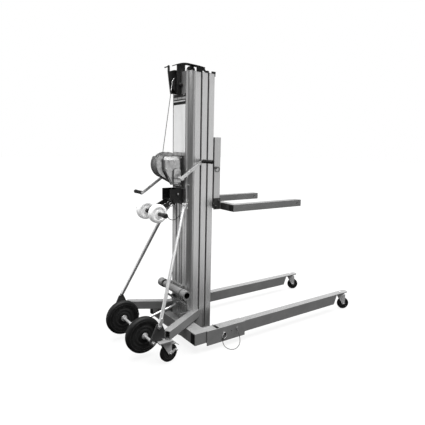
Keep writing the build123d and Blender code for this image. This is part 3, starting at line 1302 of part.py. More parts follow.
for hand, label in ((1, "right"), (-1, "left")):
    frame = caster_frame(hand * REAR_SWIVEL_X, REAR_SWIVEL_Y, hand * REAR_YAW)
    mount_z = ARM_BOTTOM - CASTER_PLATE
    ear = (PEDAL_PIVOT_Y, PEDAL_PIVOT_Z)
    fork = caster_fork(
        frame, mount_z, CASTER_PLATE, REAR_CASTER_R, REAR_CASTER_WIDTH, REAR_TRAIL, ear
    )
    save(fork, f"rear_caster_fork_{label}")
    wheel = caster_wheel(frame, REAR_CASTER_R, REAR_CASTER_WIDTH, REAR_TRAIL)
    save(wheel, f"rear_caster_wheel_{label}")
    save(brake_pedal(frame), f"brake_pedal_{label}")
    frame = caster_frame(hand * LEG_X, FRONT_SWIVEL_Y, -FRONT_YAW)
    fork = caster_fork(
        frame, TONGUE_BOTTOM, LEG_PLATE, FRONT_CASTER_R, FRONT_CASTER_WIDTH, FRONT_TRAIL, None
    )
    save(fork, f"front_caster_fork_{label}")
    wheel = caster_wheel(frame, FRONT_CASTER_R, FRONT_CASTER_WIDTH, FRONT_TRAIL)
    save(wheel, f"front_caster_wheel_{label}")

# Fork frame on the carriage: cheeks, a cross bar and two hollow arms with closed rear ends
FORK_HALF = FORK_SPREAD / 2
FORK_INNER = FORK_HALF - FORK_WIDTH
FORK_TOP = FORK_BOTTOM + FORK_HEIGHT
FORK_TIP = CARRIAGE_FRONT + FORK_LENGTH
with BuildPart() as fork_frame:
    with BuildSketch(plan(FORK_BOTTOM)):
        strip(-FORK_HALF, FORK_HALF, CARRIAGE_FRONT, CARRIAGE_FRONT + FORK_HEIGHT, Mode.ADD)
        strip(FORK_INNER, FORK_HALF, CARRIAGE_FRONT, FORK_TIP, Mode.ADD)
        strip(-FORK_HALF, -FORK_INNER, CARRIAGE_FRONT, FORK_TIP, Mode.ADD)
    extrude(amount=FORK_HEIGHT)
    with BuildSketch(plan(FORK_BOTTOM + FORK_WALL)):
        back_in = CARRIAGE_FRONT + FORK_WALL
        strip(FORK_INNER + FORK_WALL, FORK_HALF - FORK_WALL, back_in, FORK_TIP, Mode.ADD)
        strip(FORK_WALL - FORK_HALF, -FORK_INNER - FORK_WALL, back_in, FORK_TIP, Mode.ADD)
        bar_in = FORK_INNER + FORK_WALL
        strip(-bar_in, bar_in, back_in, CARRIAGE_FRONT + FORK_HEIGHT - FORK_WALL, Mode.ADD)
    extrude(amount=FORK_HEIGHT - 2 * FORK_WALL, mode=Mode.SUBTRACT)
    with BuildSketch(side(-FORK_HALF)):
        disc(FORK_TIP - FORK_HOLE_INSET, (FORK_BOTTOM + FORK_TOP) / 2, FORK_HOLE_R)
    extrude(amount=FORK_SPREAD, mode=Mode.SUBTRACT)
    for cheek_x in (-HALF - FORK_CHEEK, HALF):
        with BuildSketch(side(cheek_x)):
            strip(BACK_CARRIAGE, CARRIAGE_FRONT, FORK_BOTTOM, FORK_CHEEK_TOP, Mode.ADD)
        extrude(amount=FORK_CHEEK)
    with BuildSketch(rear(CARRIAGE_FRONT)):
        gusset = HALF + FORK_CHEEK
        strip(-gusset, gusset, FORK_TOP, FORK_CHEEK_TOP, Mode.ADD)
    extrude(amount=-FORK_WALL)
save(fork_frame, "fork_frame")


def ring_pin(tip_x, face_x, pin_y, pin_z, pin_radius, ring_y, ring_z):
    """Locking pin with a round head on the face it stops at, and a pull ring through the head."""
    head_x = face_x + END_PLAY
    ring_x = head_x + PIN_HEAD / 2
    with BuildPart() as pin:
        with BuildSketch(side(tip_x)):
            disc(pin_y, pin_z, pin_radius)
        extrude(amount=head_x - tip_x)
        with BuildSketch(side(head_x)):
            disc(pin_y, pin_z, PIN_HEAD_R)
        extrude(amount=PIN_HEAD)
        with BuildSketch(Plane(origin=at(ring_x, ring_y, ring_z + RING_R), x_dir=(1, 0, 0), z_dir=(0, 1, 0))):
            Circle(RING_WIRE)
        revolve(axis=Axis(at(ring_x, ring_y, ring_z), (1, 0, 0)))
    return pin


leg_pin_right = ring_pin(
    SLEEVE_INNER - SLEEVE_WALL, SLEEVE_OUTER, LEG_PIN_Y, LEG_PIN_Z, LEG_PIN_R, LEG_PIN_Y, LEG_PIN_Z - RING_R
)
save(leg_pin_right, "leg_pin_right")
with BuildPart() as leg_pin_left:
    mirror(leg_pin_right.part, about=Plane.YZ)
save(leg_pin_left, "leg_pin_left")
RING_SWING = radians(40)
carriage_pin = ring_pin(
    HALF - 2 * WALL,
    HALF,
    CARRIAGE_PIN_Y,
    CARRIAGE_PIN_Z,
    CARRIAGE_PIN_R,
    CARRIAGE_PIN_Y + RING_R * cos(RING_SWING),
    CARRIAGE_PIN_Z - RING_R * sin(RING_SWING),
)
save(carriage_pin, "carriage_pin")

# Stabilizer sockets: two open tubes on a block, and the bar below them
BLOCK_HALF = 80.0
BLOCK_HEIGHT = 70.0
SOCKET_INNER = SOCKET_END - SOCKET_LENGTH
CROSS_HOLE_R = 6.0
with BuildPart() as stabilizer_sockets:
    with BuildSketch(rear(0)):
        block_foot = SOCKET_Z - BLOCK_HEIGHT / 2
        strip(-BLOCK_HALF, BLOCK_HALF, block_foot, block_foot + BLOCK_HEIGHT, Mode.ADD)
    extrude(amount=-SOCKET_Y - SOCKET_BORE)
    with BuildSketch(side(-SOCKET_END)):
        disc(SOCKET_Y, SOCKET_Z, SOCKET_R)
    extrude(amount=2 * SOCKET_END)
    for low in (-SOCKET_END, SOCKET_END - COLLAR_LENGTH):
        with BuildSketch(side(low)):
            disc(SOCKET_Y, SOCKET_Z, SOCKET_BORE + COLLAR_WALL)
        extrude(amount=COLLAR_LENGTH)
    for low in (-SOCKET_END, SOCKET_INNER):
        with BuildSketch(side(low)):
            disc(SOCKET_Y, SOCKET_Z, SOCKET_BORE)
        extrude(amount=SOCKET_LENGTH, mode=Mode.SUBTRACT)
    with BuildSketch(plan(SOCKET_Z)):
        for sign in (-1, 1):
            disc(sign * (SOCKET_END - SOCKET_LENGTH / 4), SOCKET_Y, CROSS_HOLE_R)
    extrude(amount=2 * SOCKET_R, mode=Mode.SUBTRACT)
    with BuildSketch(side(-BAR_HALF)):
        disc(BAR_Y, BAR_Z, BAR_R)
    extrude(amount=2 * BAR_HALF)
    for sign in (-1, 1):
        with BuildSketch(rear(0)):
            clip_x = sign * BLOCK_HALF * 0.8
            strip(clip_x - BAR_R, clip_x + BAR_R, BAR_Z - 2 * BAR_R, BAR_Z + 2 * BAR_R, Mode.ADD)
        extrude(amount=-BAR_Y)
save(stabilizer_sockets, "stabilizer_sockets")


def lanyard(points, label):
    """Free wire through the given points: straight runs joined by tangent arcs."""
    corners = [at(*point) for point in points]
    radii = []
    for before, corner, after in zip(corners, corners[1:], corners[2:]):
        turn = radians((corner - before).get_angle(after - corner))
        shorter = min((corner - before).length, (after - corner).length)
        radii.append(LANYARD_BEND * shorter / tan(turn / 2))
    with BuildLine() as route:
        FilletPolyline(*corners, radius=radii)
    with BuildPart() as wire:
        with BuildSketch(Plane(origin=route.line @ 0, z_dir=route.line % 0)):
            RegularPolygon(LANYARD_R, 8)
        sweep(path=route.line)
    save(wire, label)
    print(f"{label}: least bend {min(radii):.1f} mm")
    return wire


LEG_LANYARD = (
    (356, 163, 66),
    (361, 155, 50),
    (371, 154, 34),
    (385, 160, 18),
    (403, 174, 7),
    (420, 196, 3.5),
    (429, 220, 7),
    (430, 244, 19),
    (422, 263, 38),
    (407, 274, 60),
    (390, 280, 81),
    (371, 284, 99),
    (356, 286, 111),
    (347.5, 286.5, 115),
)
leg_lanyard = lanyard(LEG_LANYARD, "leg_lanyard")
LOADING_LANYARD = (
    (203, -202.5, 951.7),
    (192, -189, 938),
    (172, -166, 925),
    (146, -138, 916),
    (115, -107, 910),
    (82, -75, 907),
    (48, -44, 906),
    (22, -20, 906.5),
    (2, -2, 908),
)
loading_lanyard = lanyard(LOADING_LANYARD, "loading_lanyard")
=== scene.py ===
# %% [markdown]
# # Dressing a hand-winched duct lift
# The solids of the lift come from its CAD model: three nested aluminium mast sections, a carriage
# with two forks, a geared hand winch and a straddle base on casters.
# This lesson adds what solids leave out: wire rope with real strands, bolts, weld beads, plates,
# seams, and a finish for each surface. Everything is in metres, in the CAD model's own frame.

# %% Load the solids
import math

import bmesh
import bpy
from mathutils import Matrix, Vector


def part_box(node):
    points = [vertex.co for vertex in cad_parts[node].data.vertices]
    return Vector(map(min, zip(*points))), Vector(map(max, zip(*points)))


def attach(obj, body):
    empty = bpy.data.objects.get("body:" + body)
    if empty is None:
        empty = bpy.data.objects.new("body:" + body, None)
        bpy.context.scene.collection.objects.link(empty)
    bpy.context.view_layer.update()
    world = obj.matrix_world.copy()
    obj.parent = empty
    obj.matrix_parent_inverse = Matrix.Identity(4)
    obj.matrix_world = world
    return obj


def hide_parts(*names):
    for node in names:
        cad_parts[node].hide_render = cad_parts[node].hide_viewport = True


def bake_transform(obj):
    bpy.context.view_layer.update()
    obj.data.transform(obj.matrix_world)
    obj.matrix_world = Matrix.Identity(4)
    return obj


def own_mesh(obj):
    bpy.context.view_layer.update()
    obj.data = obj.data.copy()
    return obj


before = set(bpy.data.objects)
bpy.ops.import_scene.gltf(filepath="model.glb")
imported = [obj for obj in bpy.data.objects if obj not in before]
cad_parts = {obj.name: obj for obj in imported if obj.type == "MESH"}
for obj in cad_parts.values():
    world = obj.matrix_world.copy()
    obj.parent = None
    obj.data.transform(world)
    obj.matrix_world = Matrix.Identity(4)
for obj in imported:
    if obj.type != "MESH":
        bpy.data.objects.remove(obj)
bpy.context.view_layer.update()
scene = bpy.context.scene

# %% [markdown]
# ## One way to say where things are
# On the drawing of the lift, lengths run forward from the back face of the mast, in millimetres.
# The frame's origin is under the middle of the whole machine instead. One helper turns a drawing
# point into a frame point, so that every later number can be read from the drawing.

# %% From drawing points to frame points
MM = 0.001
MAST_BACK_Y = -535.5
SIDEWAYS = Vector((1, 0, 0))
FORWARD = Vector((0, 1, 0))
UPWARD = Vector((0, 0, 1))
SIDES = ("right", "left")
HANDS = ((1, "right"), (-1, "left"))


def spot(x, y, z):
    """Frame point, in metres, of a drawing point in millimetres from the mast's back."""
    return Vector((x, y + MAST_BACK_Y, z)) * MM


def millimetres(rows):
    """Pairs of millimetres, such as the distances and radii of a profile, in metres."""
    return [(first * MM, second * MM) for first, second in rows]


def placed(name, data):
    """New object in the scene, at the origin."""
    thing = bpy.data.objects.new(name, data)
    scene.collection.objects.link(thing)
    return thing


mast_low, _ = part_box("outer_mast")
print("mast back at", round(mast_low.y, 4), "drawing says", round(spot(0, 0, 0).y, 4))

# %% [markdown]
# ## The camera
# A photograph fixes its camera: edges that are parallel on the machine meet at vanishing points, and
# these give the direction of view and the lens. The picture is square, so the lens follows from the
# focal length in pixels. The small roll is kept, because the mast leans a little in the picture.

# %% Place the camera
PICTURE = 425
FOCAL_PIXELS = 417.5
SENSOR = 36.0
CLIP_END = 200.0
CAMERA_PLACE = (2585.9, -1510.1, 1415.4)
AZIMUTH = math.radians(55.05)
PITCH = math.radians(9.03)
ROLL = math.radians(1.13)

back = Vector(
    (
        math.sin(AZIMUTH) * math.cos(PITCH),
        -math.cos(AZIMUTH) * math.cos(PITCH),
        math.sin(PITCH),
    )
)
level_right = (-back).cross(UPWARD).normalized()
level_up = level_right.cross(-back)
right = math.cos(ROLL) * level_right + math.sin(ROLL) * level_up
up = -math.sin(ROLL) * level_right + math.cos(ROLL) * level_up

camera_data = bpy.data.cameras.new("camera")
camera_data.sensor_width = SENSOR
camera_data.lens = SENSOR * FOCAL_PIXELS / PICTURE
camera_data.clip_end = CLIP_END
camera = placed("camera", camera_data)
turned_view = Matrix((right, up, back)).transposed().to_4x4()
camera.matrix_world = Matrix.Translation(spot(*CAMERA_PLACE)) @ turned_view
scene.camera = camera
print("lens", round(camera_data.lens, 2), "mm")

# %% [markdown]
# ## Effects that several finishes share
# Worn metal and paint look alike in a few ways: rolled grain runs along an extrusion, handling leaves
# cloudy patches, edges rub bright, and dust gathers near the floor. Each of these is one shader
# node group with named inputs. A finish then places the group with its own values, so a change to
# the effect reaches every finish at once.

# %% Helpers for node trees
def feed(tree, slot, value):
    """Feed an input by another node's output, or set its plain value."""
    if isinstance(value, bpy.types.NodeSocket):
        tree.links.new(value, slot)
    else:
        slot.default_value = value


def add_node(tree, kind, feeds=None, **settings):
    """New node in a tree, with its settings and with what feeds its inputs."""
    node = tree.nodes.new(kind)
    for key, value in settings.items():
        setattr(node, key, value)
    for label, value in (feeds or {}).items():
        feed(tree, node.inputs[label], value)
    return node


def new_shader_group(name, sizes, output):
    """Empty shader node group with a vector, named float inputs and one float output."""
    tree = bpy.data.node_groups.new(name, "ShaderNodeTree")
    tree.interface.new_socket("Vector", in_out="INPUT", socket_type="NodeSocketVector")
    for label, value in sizes.items():
        socket = tree.interface.new_socket(label, in_out="INPUT", socket_type="NodeSocketFloat")
        socket.default_value = value
    tree.interface.new_socket(output, in_out="OUTPUT", socket_type="NodeSocketFloat")
    return tree, add_node(tree, "NodeGroupInput"), add_node(tree, "NodeGroupOutput")


def math_node(tree, operation, first, second):
    """Result of a math node on sockets or plain numbers."""
    return add_node(tree, "ShaderNodeMath", {0: first, 1: second}, operation=operation).outputs[0]


def ranged(tree, value, low, high, to_low=0.0, to_high=1.0):
    """Clamped map of a value from one range to another."""
    feeds = {"Value": value, "From Min": low, "From Max": high, "To Min": to_low, "To Max": to_high}
    return add_node(tree, "ShaderNodeMapRange", feeds).outputs["Result"]


def noise_over(tree, entry, scale, **values):
    """Noise over a group's vector, at the scale that one of its inputs gives."""
    feeds = {"Vector": entry.outputs["Vector"], "Scale": entry.outputs[scale], **values}
    return add_node(tree, "ShaderNodeTexNoise", feeds).outputs["Fac"]


# %% Rolled grain, patches, fine bumps, rubbed edges and floor dust
grain_tree, entry, leave = new_shader_group("rolled grain", {"Across": 900.0, "Along": 6.0}, "Mask")
across = entry.outputs["Across"]
shares = {"X": across, "Y": across, "Z": entry.outputs["Along"]}
stretch = add_node(grain_tree, "ShaderNodeCombineXYZ", shares)
factors = {0: entry.outputs["Vector"], 1: stretch.outputs[0]}
scaled = add_node(grain_tree, "ShaderNodeVectorMath", factors, operation="MULTIPLY")
lengthwise = {"Vector": scaled.outputs[0], "Scale": 1.0, "Detail": 3.0}
noise = add_node(grain_tree, "ShaderNodeTexNoise", lengthwise)
feed(grain_tree, leave.inputs["Mask"], ranged(grain_tree, noise.outputs["Fac"], 0.3, 0.7))

patch_tree, entry, leave = new_shader_group("handling patches", {"Scale": 5.0, "Sharpness": 0.15}, "Mask")
cloud = noise_over(patch_tree, entry, "Scale", Detail=6.0, Roughness=0.6)
low = math_node(patch_tree, "SUBTRACT", 0.5, entry.outputs["Sharpness"])
high = math_node(patch_tree, "ADD", 0.5, entry.outputs["Sharpness"])
feed(patch_tree, leave.inputs["Mask"], ranged(patch_tree, cloud, low, high))

bump_tree, entry, leave = new_shader_group("fine bumps", {"Scale": 700.0}, "Height")
feed(bump_tree, leave.inputs["Height"], noise_over(bump_tree, entry, "Scale", Detail=2.0))

edge_tree, entry, leave = new_shader_group("rubbed edges", {"Radius": 0.002, "Breakup": 60.0}, "Mask")
rounded = add_node(edge_tree, "ShaderNodeBevel", {"Radius": entry.outputs["Radius"]}, samples=4)
surface = add_node(edge_tree, "ShaderNodeNewGeometry")
normals = {0: rounded.outputs["Normal"], 1: surface.outputs["Normal"]}
facing = add_node(edge_tree, "ShaderNodeVectorMath", normals, operation="DOT_PRODUCT")
edge = ranged(edge_tree, facing.outputs["Value"], 0.99, 0.85)
broken = ranged(edge_tree, noise_over(edge_tree, entry, "Breakup", Detail=4.0), 0.35, 0.6)
feed(edge_tree, leave.inputs["Mask"], math_node(edge_tree, "MULTIPLY", edge, broken))

dust_tree, entry, leave = new_shader_group("floor dust", {"Height": 0.12, "Scale": 30.0}, "Mask")
parts = add_node(dust_tree, "ShaderNodeSeparateXYZ", {0: entry.outputs["Vector"]})
fade = ranged(dust_tree, parts.outputs["Z"], 0.0, entry.outputs["Height"], 1.0, 0.0)
cloud = ranged(dust_tree, noise_over(dust_tree, entry, "Scale", Detail=5.0), 0.35, 0.75)
feed(dust_tree, leave.inputs["Mask"], math_node(dust_tree, "MULTIPLY", fade, cloud))
print("shared effects:", [tree.name for tree in (grain_tree, patch_tree, bump_tree, edge_tree, dust_tree)])

# %% [markdown]
# ## Finishes
# Bare aluminium, grey and black paint, bright zinc, wire, nylon, moulded plastic and tyre rubber
# cover the whole machine. They differ in colour, in gloss and in which effects show on them, so one
# function builds them all: two tones mixed by a mask, roughness that follows the same mask, edges that
# rub to another tone, dust, and a bump. Plain numbers go straight to the shader.

# %% Build a finish from the shared effects
WHITE = (1.0, 1.0, 1.0, 1.0)
MILL_EDGE_TONE = 0.80
PAINT_DUST_TONE = 0.42
MOULD_DUST_TONE = 0.40
FORK_BACK_TONE = 0.045
# Near-white tone of a painted highlight on part of a piece.
PAINTED_HIGHLIGHT_TONE = 0.92


class Finish:
    """A material whose Principled shader is fed by the shared effects."""

    def __init__(self, name, metallic, shine=0.5):
        self.material = bpy.data.materials.new(name)
        self.material.use_nodes = True
        self.tree = self.material.node_tree
        self.shader = self.tree.nodes["Principled BSDF"]
        self.shader.inputs["Metallic"].default_value = metallic
        self.shader.inputs["Specular IOR Level"].default_value = shine
        self.place = add_node(self.tree, "ShaderNodeTexCoord").outputs["Object"]

    def effect(self, group, output, **values):
        """Output of a shared effect, placed here with its own values."""
        feeds = {"Vector": self.place, **values}
        return add_node(self.tree, "ShaderNodeGroup", feeds, node_tree=group).outputs[output]

    def tones(self, mask, first, second):
        """Mix of two greys, or of a colour socket and a grey, by a mask."""
        node = add_node(self.tree, "ShaderNodeMix", {0: mask}, data_type="RGBA")
        for slot, tone in ((node.inputs[6], first), (node.inputs[7], second)):
            feed(self.tree, slot, (tone, tone, tone, 1.0) if isinstance(tone, float) else tone)
        return node.outputs[2]

    def faded(self, mask, share):
        """Weaker copy of a mask."""
        return math_node(self.tree, "MULTIPLY", mask, share)

    def gloss(self, mask, low, high):
        """Roughness between two values, by a mask."""
        return ranged(self.tree, mask, 0.0, 1.0, low, high)

    def beyond(self, axis, place):
        """Mask of what lies beyond a place on an axis, over a soft millimetre."""
        parts = add_node(self.tree, "ShaderNodeSeparateXYZ", {0: self.place})
        return ranged(self.tree, parts.outputs[axis], place, place + MM)

    def finish(self, colour, roughness, height, depth):
        """Feed the shader and give the material back."""
        bump = add_node(self.tree, "ShaderNodeBump", {"Strength": 0.5, "Distance": depth, "Height": height})
        ends = {"Base Color": colour, "Roughness": roughness, "Normal": bump.outputs["Normal"]}
        for label, source in ends.items():
            self.tree.links.new(source, self.shader.inputs[label])
        return self.material


def aluminium(name, dark, light):
    """Mill-finish extrusion: drawn grain along the mast, faint handling patches."""
    make = Finish(name, metallic=0.85)
    grain = make.effect(grain_tree, "Mask", Across=420.0, Along=1.6)
    patches = make.effect(patch_tree, "Mask", Scale=3.5, Sharpness=0.25)
    edges = make.effect(edge_tree, "Mask", Radius=0.0012, Breakup=25.0)
    colour = make.tones(grain, dark, light)
    colour = make.tones(make.faded(patches, 0.3), colour, 0.85 * dark)
    colour = make.tones(make.faded(edges, 0.7), colour, MILL_EDGE_TONE)
    return make.finish(colour, make.gloss(grain, 0.24, 0.36), grain, 0.0001)


def paint(name, base, cloud, rubbed, gloss_low, gloss_high, shine=0.5, black_behind=None):
    """Sprayed paint: orange peel, cloudy patches, edges rubbed to bare metal, dust near the floor.

    The part of a piece that lies behind a given y may be black.
    """
    make = Finish(name, metallic=0.0, shine=shine)
    patches = make.effect(patch_tree, "Mask", Scale=7.0, Sharpness=0.2)
    peel = make.effect(bump_tree, "Height", Scale=520.0)
    edges = make.effect(edge_tree, "Mask", Radius=0.002, Breakup=40.0)
    dust = make.effect(dust_tree, "Mask", Height=0.10, Scale=26.0)
    colour = make.tones(patches, base, cloud)
    colour = make.tones(make.faded(edges, 0.6), colour, rubbed)
    colour = make.tones(make.faded(dust, 0.15), colour, PAINT_DUST_TONE)
    if black_behind is not None:
        colour = make.tones(make.beyond("Y", black_behind), FORK_BACK_TONE, colour)
    return make.finish(colour, make.gloss(patches, gloss_low, gloss_high), peel, 0.00012)


def plated(
    name, bright, dull, rubbed, metallic, gloss_low=0.24, gloss_high=0.42, depth=0.0001, painted_highlight_above=None
):
    """Zinc plate, wire or near-black steel: small crystalline patches and rubbed edges.

    The part of a piece that lies above a given z may be painted near-white, a painted highlight.
    """
    make = Finish(name, metallic=metallic)
    patches = make.effect(patch_tree, "Mask", Scale=45.0, Sharpness=0.12)
    peel = make.effect(bump_tree, "Height", Scale=260.0)
    edges = make.effect(edge_tree, "Mask", Radius=0.001, Breakup=70.0)
    colour = make.tones(patches, bright, dull)
    colour = make.tones(make.faded(edges, 0.5), colour, rubbed)
    if painted_highlight_above is not None:
        colour = make.tones(make.beyond("Z", painted_highlight_above), colour, PAINTED_HIGHLIGHT_TONE)
    return make.finish(colour, make.gloss(patches, gloss_low, gloss_high), peel, depth)


def moulded(name, base, cloud, rubbed, grain_scale, gloss_low, gloss_high, dust_share, shine=0.5):
    """Moulded plastic or rubber: fine mould grain, dull patches, paler where it is worn."""
    make = Finish(name, metallic=0.0, shine=shine)
    patches = make.effect(patch_tree, "Mask", Scale=22.0, Sharpness=0.22)
    pores = make.effect(bump_tree, "Height", Scale=grain_scale)
    edges = make.effect(edge_tree, "Mask", Radius=0.0025, Breakup=55.0)
    dust = make.effect(dust_tree, "Mask", Height=0.30, Scale=34.0)
    colour = make.tones(patches, base, cloud)
    colour = make.tones(make.faded(edges, 0.5), colour, rubbed)
    colour = make.tones(make.faded(dust, dust_share), colour, MOULD_DUST_TONE)
    return make.finish(colour, make.gloss(patches, gloss_low, gloss_high), pores, 0.00025)


# %% The finishes of the machine
FORK_BACK_Y = (274 + MAST_BACK_Y) * MM
PULLEY_FOOT_Z = 1785 * MM
MILL_ALUMINIUM = aluminium("mill aluminium", 0.54, 0.64)
CARRIAGE_ALUMINIUM = aluminium("carriage aluminium", 0.44, 0.52)
GREY_PAINT = paint("grey paint", 0.22, 0.18, 0.40, 0.38, 0.55, shine=0.25)
FORK_PAINT = paint("fork paint", 0.22, 0.18, 0.36, 0.38, 0.55, shine=0.25, black_behind=FORK_BACK_Y)
BLACK_PAINT = paint("black paint", 0.012, 0.022, 0.12, 0.42, 0.58, shine=0.3)
DARK_PAINT = paint("dark paint", 0.030, 0.045, 0.20, 0.40, 0.56, shine=0.4)
BRIGHT_ZINC = plated("bright zinc", 0.70, 0.52, 0.85, 0.65)
BRACE_ZINC = plated("brace zinc", 0.88, 0.82, 0.90, 0.85, 0.30, 0.36, 0.00001)
CASTER_ZINC = plated("caster zinc", 0.62, 0.46, 0.85, 0.25)
BOLT_ZINC = plated("bolt zinc", 0.42, 0.30, 0.60, 0.7)
WINCH_ZINC = plated("winch zinc", 0.46, 0.34, 0.75, 0.6, 0.14, 0.24, 0.00004)
NEAR_BLACK_STEEL = plated("near-black steel", 0.030, 0.016, 0.12, 0.5)
DRUM_STEEL = plated("drum steel", 0.36, 0.24, 0.55, 0.6)
PIN_STEEL = plated("pin steel", 0.14, 0.08, 0.30, 0.7)
# Above the pulley's foot the hoist wire is painted near-white: a painted highlight where it runs over the top
# pulley and the sheaves.
HOIST_WIRE = plated("hoist wire", 0.13, 0.08, 0.24, 0.4, painted_highlight_above=PULLEY_FOOT_Z)
# The turns on the drum are a far paler copy of the hoist wire: a painted highlight on the winding.
LIT_DRUM_WIRE = plated("drum wire painted highlight", 0.84, 0.66, 0.90, 0.4)
TIE_WIRE = plated("tie wire", 0.020, 0.012, 0.06, 0.0)
BLACK_PLASTIC = moulded("black plastic", 0.006, 0.012, 0.05, 900.0, 0.38, 0.55, 0.0, 0.2)
BLACK_RUBBER = moulded("black rubber", 0.005, 0.009, 0.030, 500.0, 0.46, 0.66, 0.03, 0.2)
HUB_PLASTIC = moulded("hub plastic", 0.013, 0.022, 0.06, 700.0, 0.42, 0.58, 0.0, 0.3)
WHITE_NYLON = moulded("white nylon", 0.86, 0.80, 0.88, 420.0, 0.42, 0.60, 0.0)
# The white nylon glows a little: painted light that lifts both loading wheels where they lie in shade.
NYLON_PAINTED_LIGHT = 0.16
white_shader = WHITE_NYLON.node_tree.nodes["Principled BSDF"]
white_shader.inputs["Emission Color"].default_value = WHITE
white_shader.inputs["Emission Strength"].default_value = NYLON_PAINTED_LIGHT
WHITE_PLATE = moulded("white plate", 0.80, 0.75, 0.84, 240.0, 0.30, 0.42, 0.0)

FINISHES = {
    MILL_ALUMINIUM: ("outer_mast", "mast_section_2", "mast_section_3"),
    CARRIAGE_ALUMINIUM: ("carriage",),
    GREY_PAINT: ("base_frame", "leg_sleeves", "rear_arms", "stabilizer_sockets", "leg_right", "leg_left"),
    FORK_PAINT: ("fork_frame",),
    BLACK_PAINT: ("pulley_bracket", "loading_bracket", "section_2_head", "section_3_head", "loading_axle"),
    DARK_PAINT: ("axle_brackets", "winch_mount"),
    BRACE_ZINC: ("braces",),
    BRIGHT_ZINC: ("crank_shaft", "crank_arms", "axle_strut"),
    CASTER_ZINC: tuple(
        f"{piece}_{side}"
        for piece in ("rear_caster_fork", "front_caster_fork", "brake_pedal", "leg_pin")
        for side in SIDES
    ),
    WINCH_ZINC: ("winch_frame", "winch_gear_cover", "lower_sheave_2", "lower_sheave_3"),
    DRUM_STEEL: ("winch_drum",),
    NEAR_BLACK_STEEL: ("top_pulley", "upper_sheave_2", "upper_sheave_3"),
    PIN_STEEL: ("carriage_pin",),
    BLACK_PLASTIC: ("wear_pads_1", "crank_grip_right", "crank_grip_left"),
    BLACK_RUBBER: tuple(
        f"{wheel}_wheel_{side}" for wheel in ("transport", "rear_caster", "front_caster") for side in SIDES
    ),
    WHITE_NYLON: ("loading_wheel_right", "loading_wheel_left"),
}
finished = 0
for material, names in FINISHES.items():
    for name in names:
        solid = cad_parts[name]
        solid.data.materials.clear()
        solid.data.materials.append(material)
        finished += 1
print(finished, "solids have a finish")

# %% [markdown]
# ## Wire rope, by one rule
# The hoist cable is wire rope: six strands laid in a helix. A plain tube would look like a rod. So a
# Geometry Nodes tree takes any line, resamples it evenly, and sweeps a six-lobed section along it
# that turns a little at each step. The lay is a named input, and the same tree makes the hoist run,
# the turns on the drum, the runs inside the mast and the two thin free wires.

# %% The rope tree
def new_maker(name, sizes, counts=None):
    """Empty Geometry Nodes tree with a line or point input, named sizes and a finish."""
    tree = bpy.data.node_groups.new(name, "GeometryNodeTree")
    tree.interface.new_socket("Geometry", in_out="INPUT", socket_type="NodeSocketGeometry")
    for label, value in sizes.items():
        socket = tree.interface.new_socket(label, in_out="INPUT", socket_type="NodeSocketFloat")
        socket.default_value = value
    for label, value in (counts or {}).items():
        socket = tree.interface.new_socket(label, in_out="INPUT", socket_type="NodeSocketInt")
        socket.default_value = value
    tree.interface.new_socket("Finish", in_out="INPUT", socket_type="NodeSocketMaterial")
    tree.interface.new_socket("Geometry", in_out="OUTPUT", socket_type="NodeSocketGeometry")
    return tree, add_node(tree, "NodeGroupInput"), add_node(tree, "NodeGroupOutput")


def end_maker(tree, entry, leave, made, smooth):
    """Close a tree: plain faces, one finish."""
    real = add_node(tree, "GeometryNodeRealizeInstances", {0: made})
    shade = add_node(tree, "GeometryNodeSetShadeSmooth", {0: real.outputs[0], "Shade Smooth": smooth})
    feeds = {"Geometry": shade.outputs[0], "Material": entry.outputs["Finish"]}
    colour = add_node(tree, "GeometryNodeSetMaterial", feeds)
    tree.links.new(colour.outputs[0], leave.inputs[0])


def stepped(tree, entry):
    """A tree's line in even steps, and the length along it."""
    feeds = {"Curve": entry.outputs["Geometry"], "Length": entry.outputs["Step"]}
    steps = add_node(tree, "GeometryNodeResampleCurve", feeds, mode="LENGTH")
    along = add_node(tree, "GeometryNodeSplineParameter")
    return steps.outputs[0], along.outputs["Length"]


STRANDS = 6
VALLEY_SHARE = 0.78
rope_tree, entry, leave = new_maker(
    "wire rope", {"Radius": 0.0025, "Lay Length": 0.032, "Step": 0.004}, {"Strands": STRANDS}
)
steps, along = stepped(rope_tree, entry)
turns = math_node(rope_tree, "DIVIDE", along, entry.outputs["Lay Length"])
twist = math_node(rope_tree, "MULTIPLY", turns, math.tau)
tilt = add_node(rope_tree, "GeometryNodeSetCurveTilt", {"Curve": steps, "Tilt": twist})
valley = math_node(rope_tree, "MULTIPLY", entry.outputs["Radius"], VALLEY_SHARE)
star = {"Points": entry.outputs["Strands"], "Outer Radius": entry.outputs["Radius"], "Inner Radius": valley}
lobes = add_node(rope_tree, "GeometryNodeCurveStar", star)
feeds = {"Curve": tilt.outputs[0], "Profile Curve": lobes.outputs[0], "Fill Caps": True}
swept = add_node(rope_tree, "GeometryNodeCurveToMesh", feeds)
end_maker(rope_tree, entry, leave, swept.outputs[0], True)


# %% Helpers that turn a carrier and a tree into a plain piece
NURBS_ORDER = 3
NURBS_STEPS = 8


def evaluated_mesh(carrier):
    """Plain mesh of a carrier, as its modifiers leave it."""
    bpy.context.view_layer.update()
    depsgraph = bpy.context.evaluated_depsgraph_get()
    return bpy.data.meshes.new_from_object(carrier.evaluated_get(depsgraph))


def made_plain(carrier, tree, name, **values):
    """Evaluate a tree on a carrier object and keep only the plain mesh."""
    modifier = carrier.modifiers.new(tree.name, "NODES")
    modifier.node_group = tree
    for item in tree.interface.items_tree:
        if item.in_out == "INPUT" and item.name in values:
            modifier[item.identifier] = values[item.name]
    mesh = evaluated_mesh(carrier)
    mesh.name = name
    bpy.data.objects.remove(carrier)
    print(name, len(mesh.polygons), "faces")
    return placed(name, mesh)


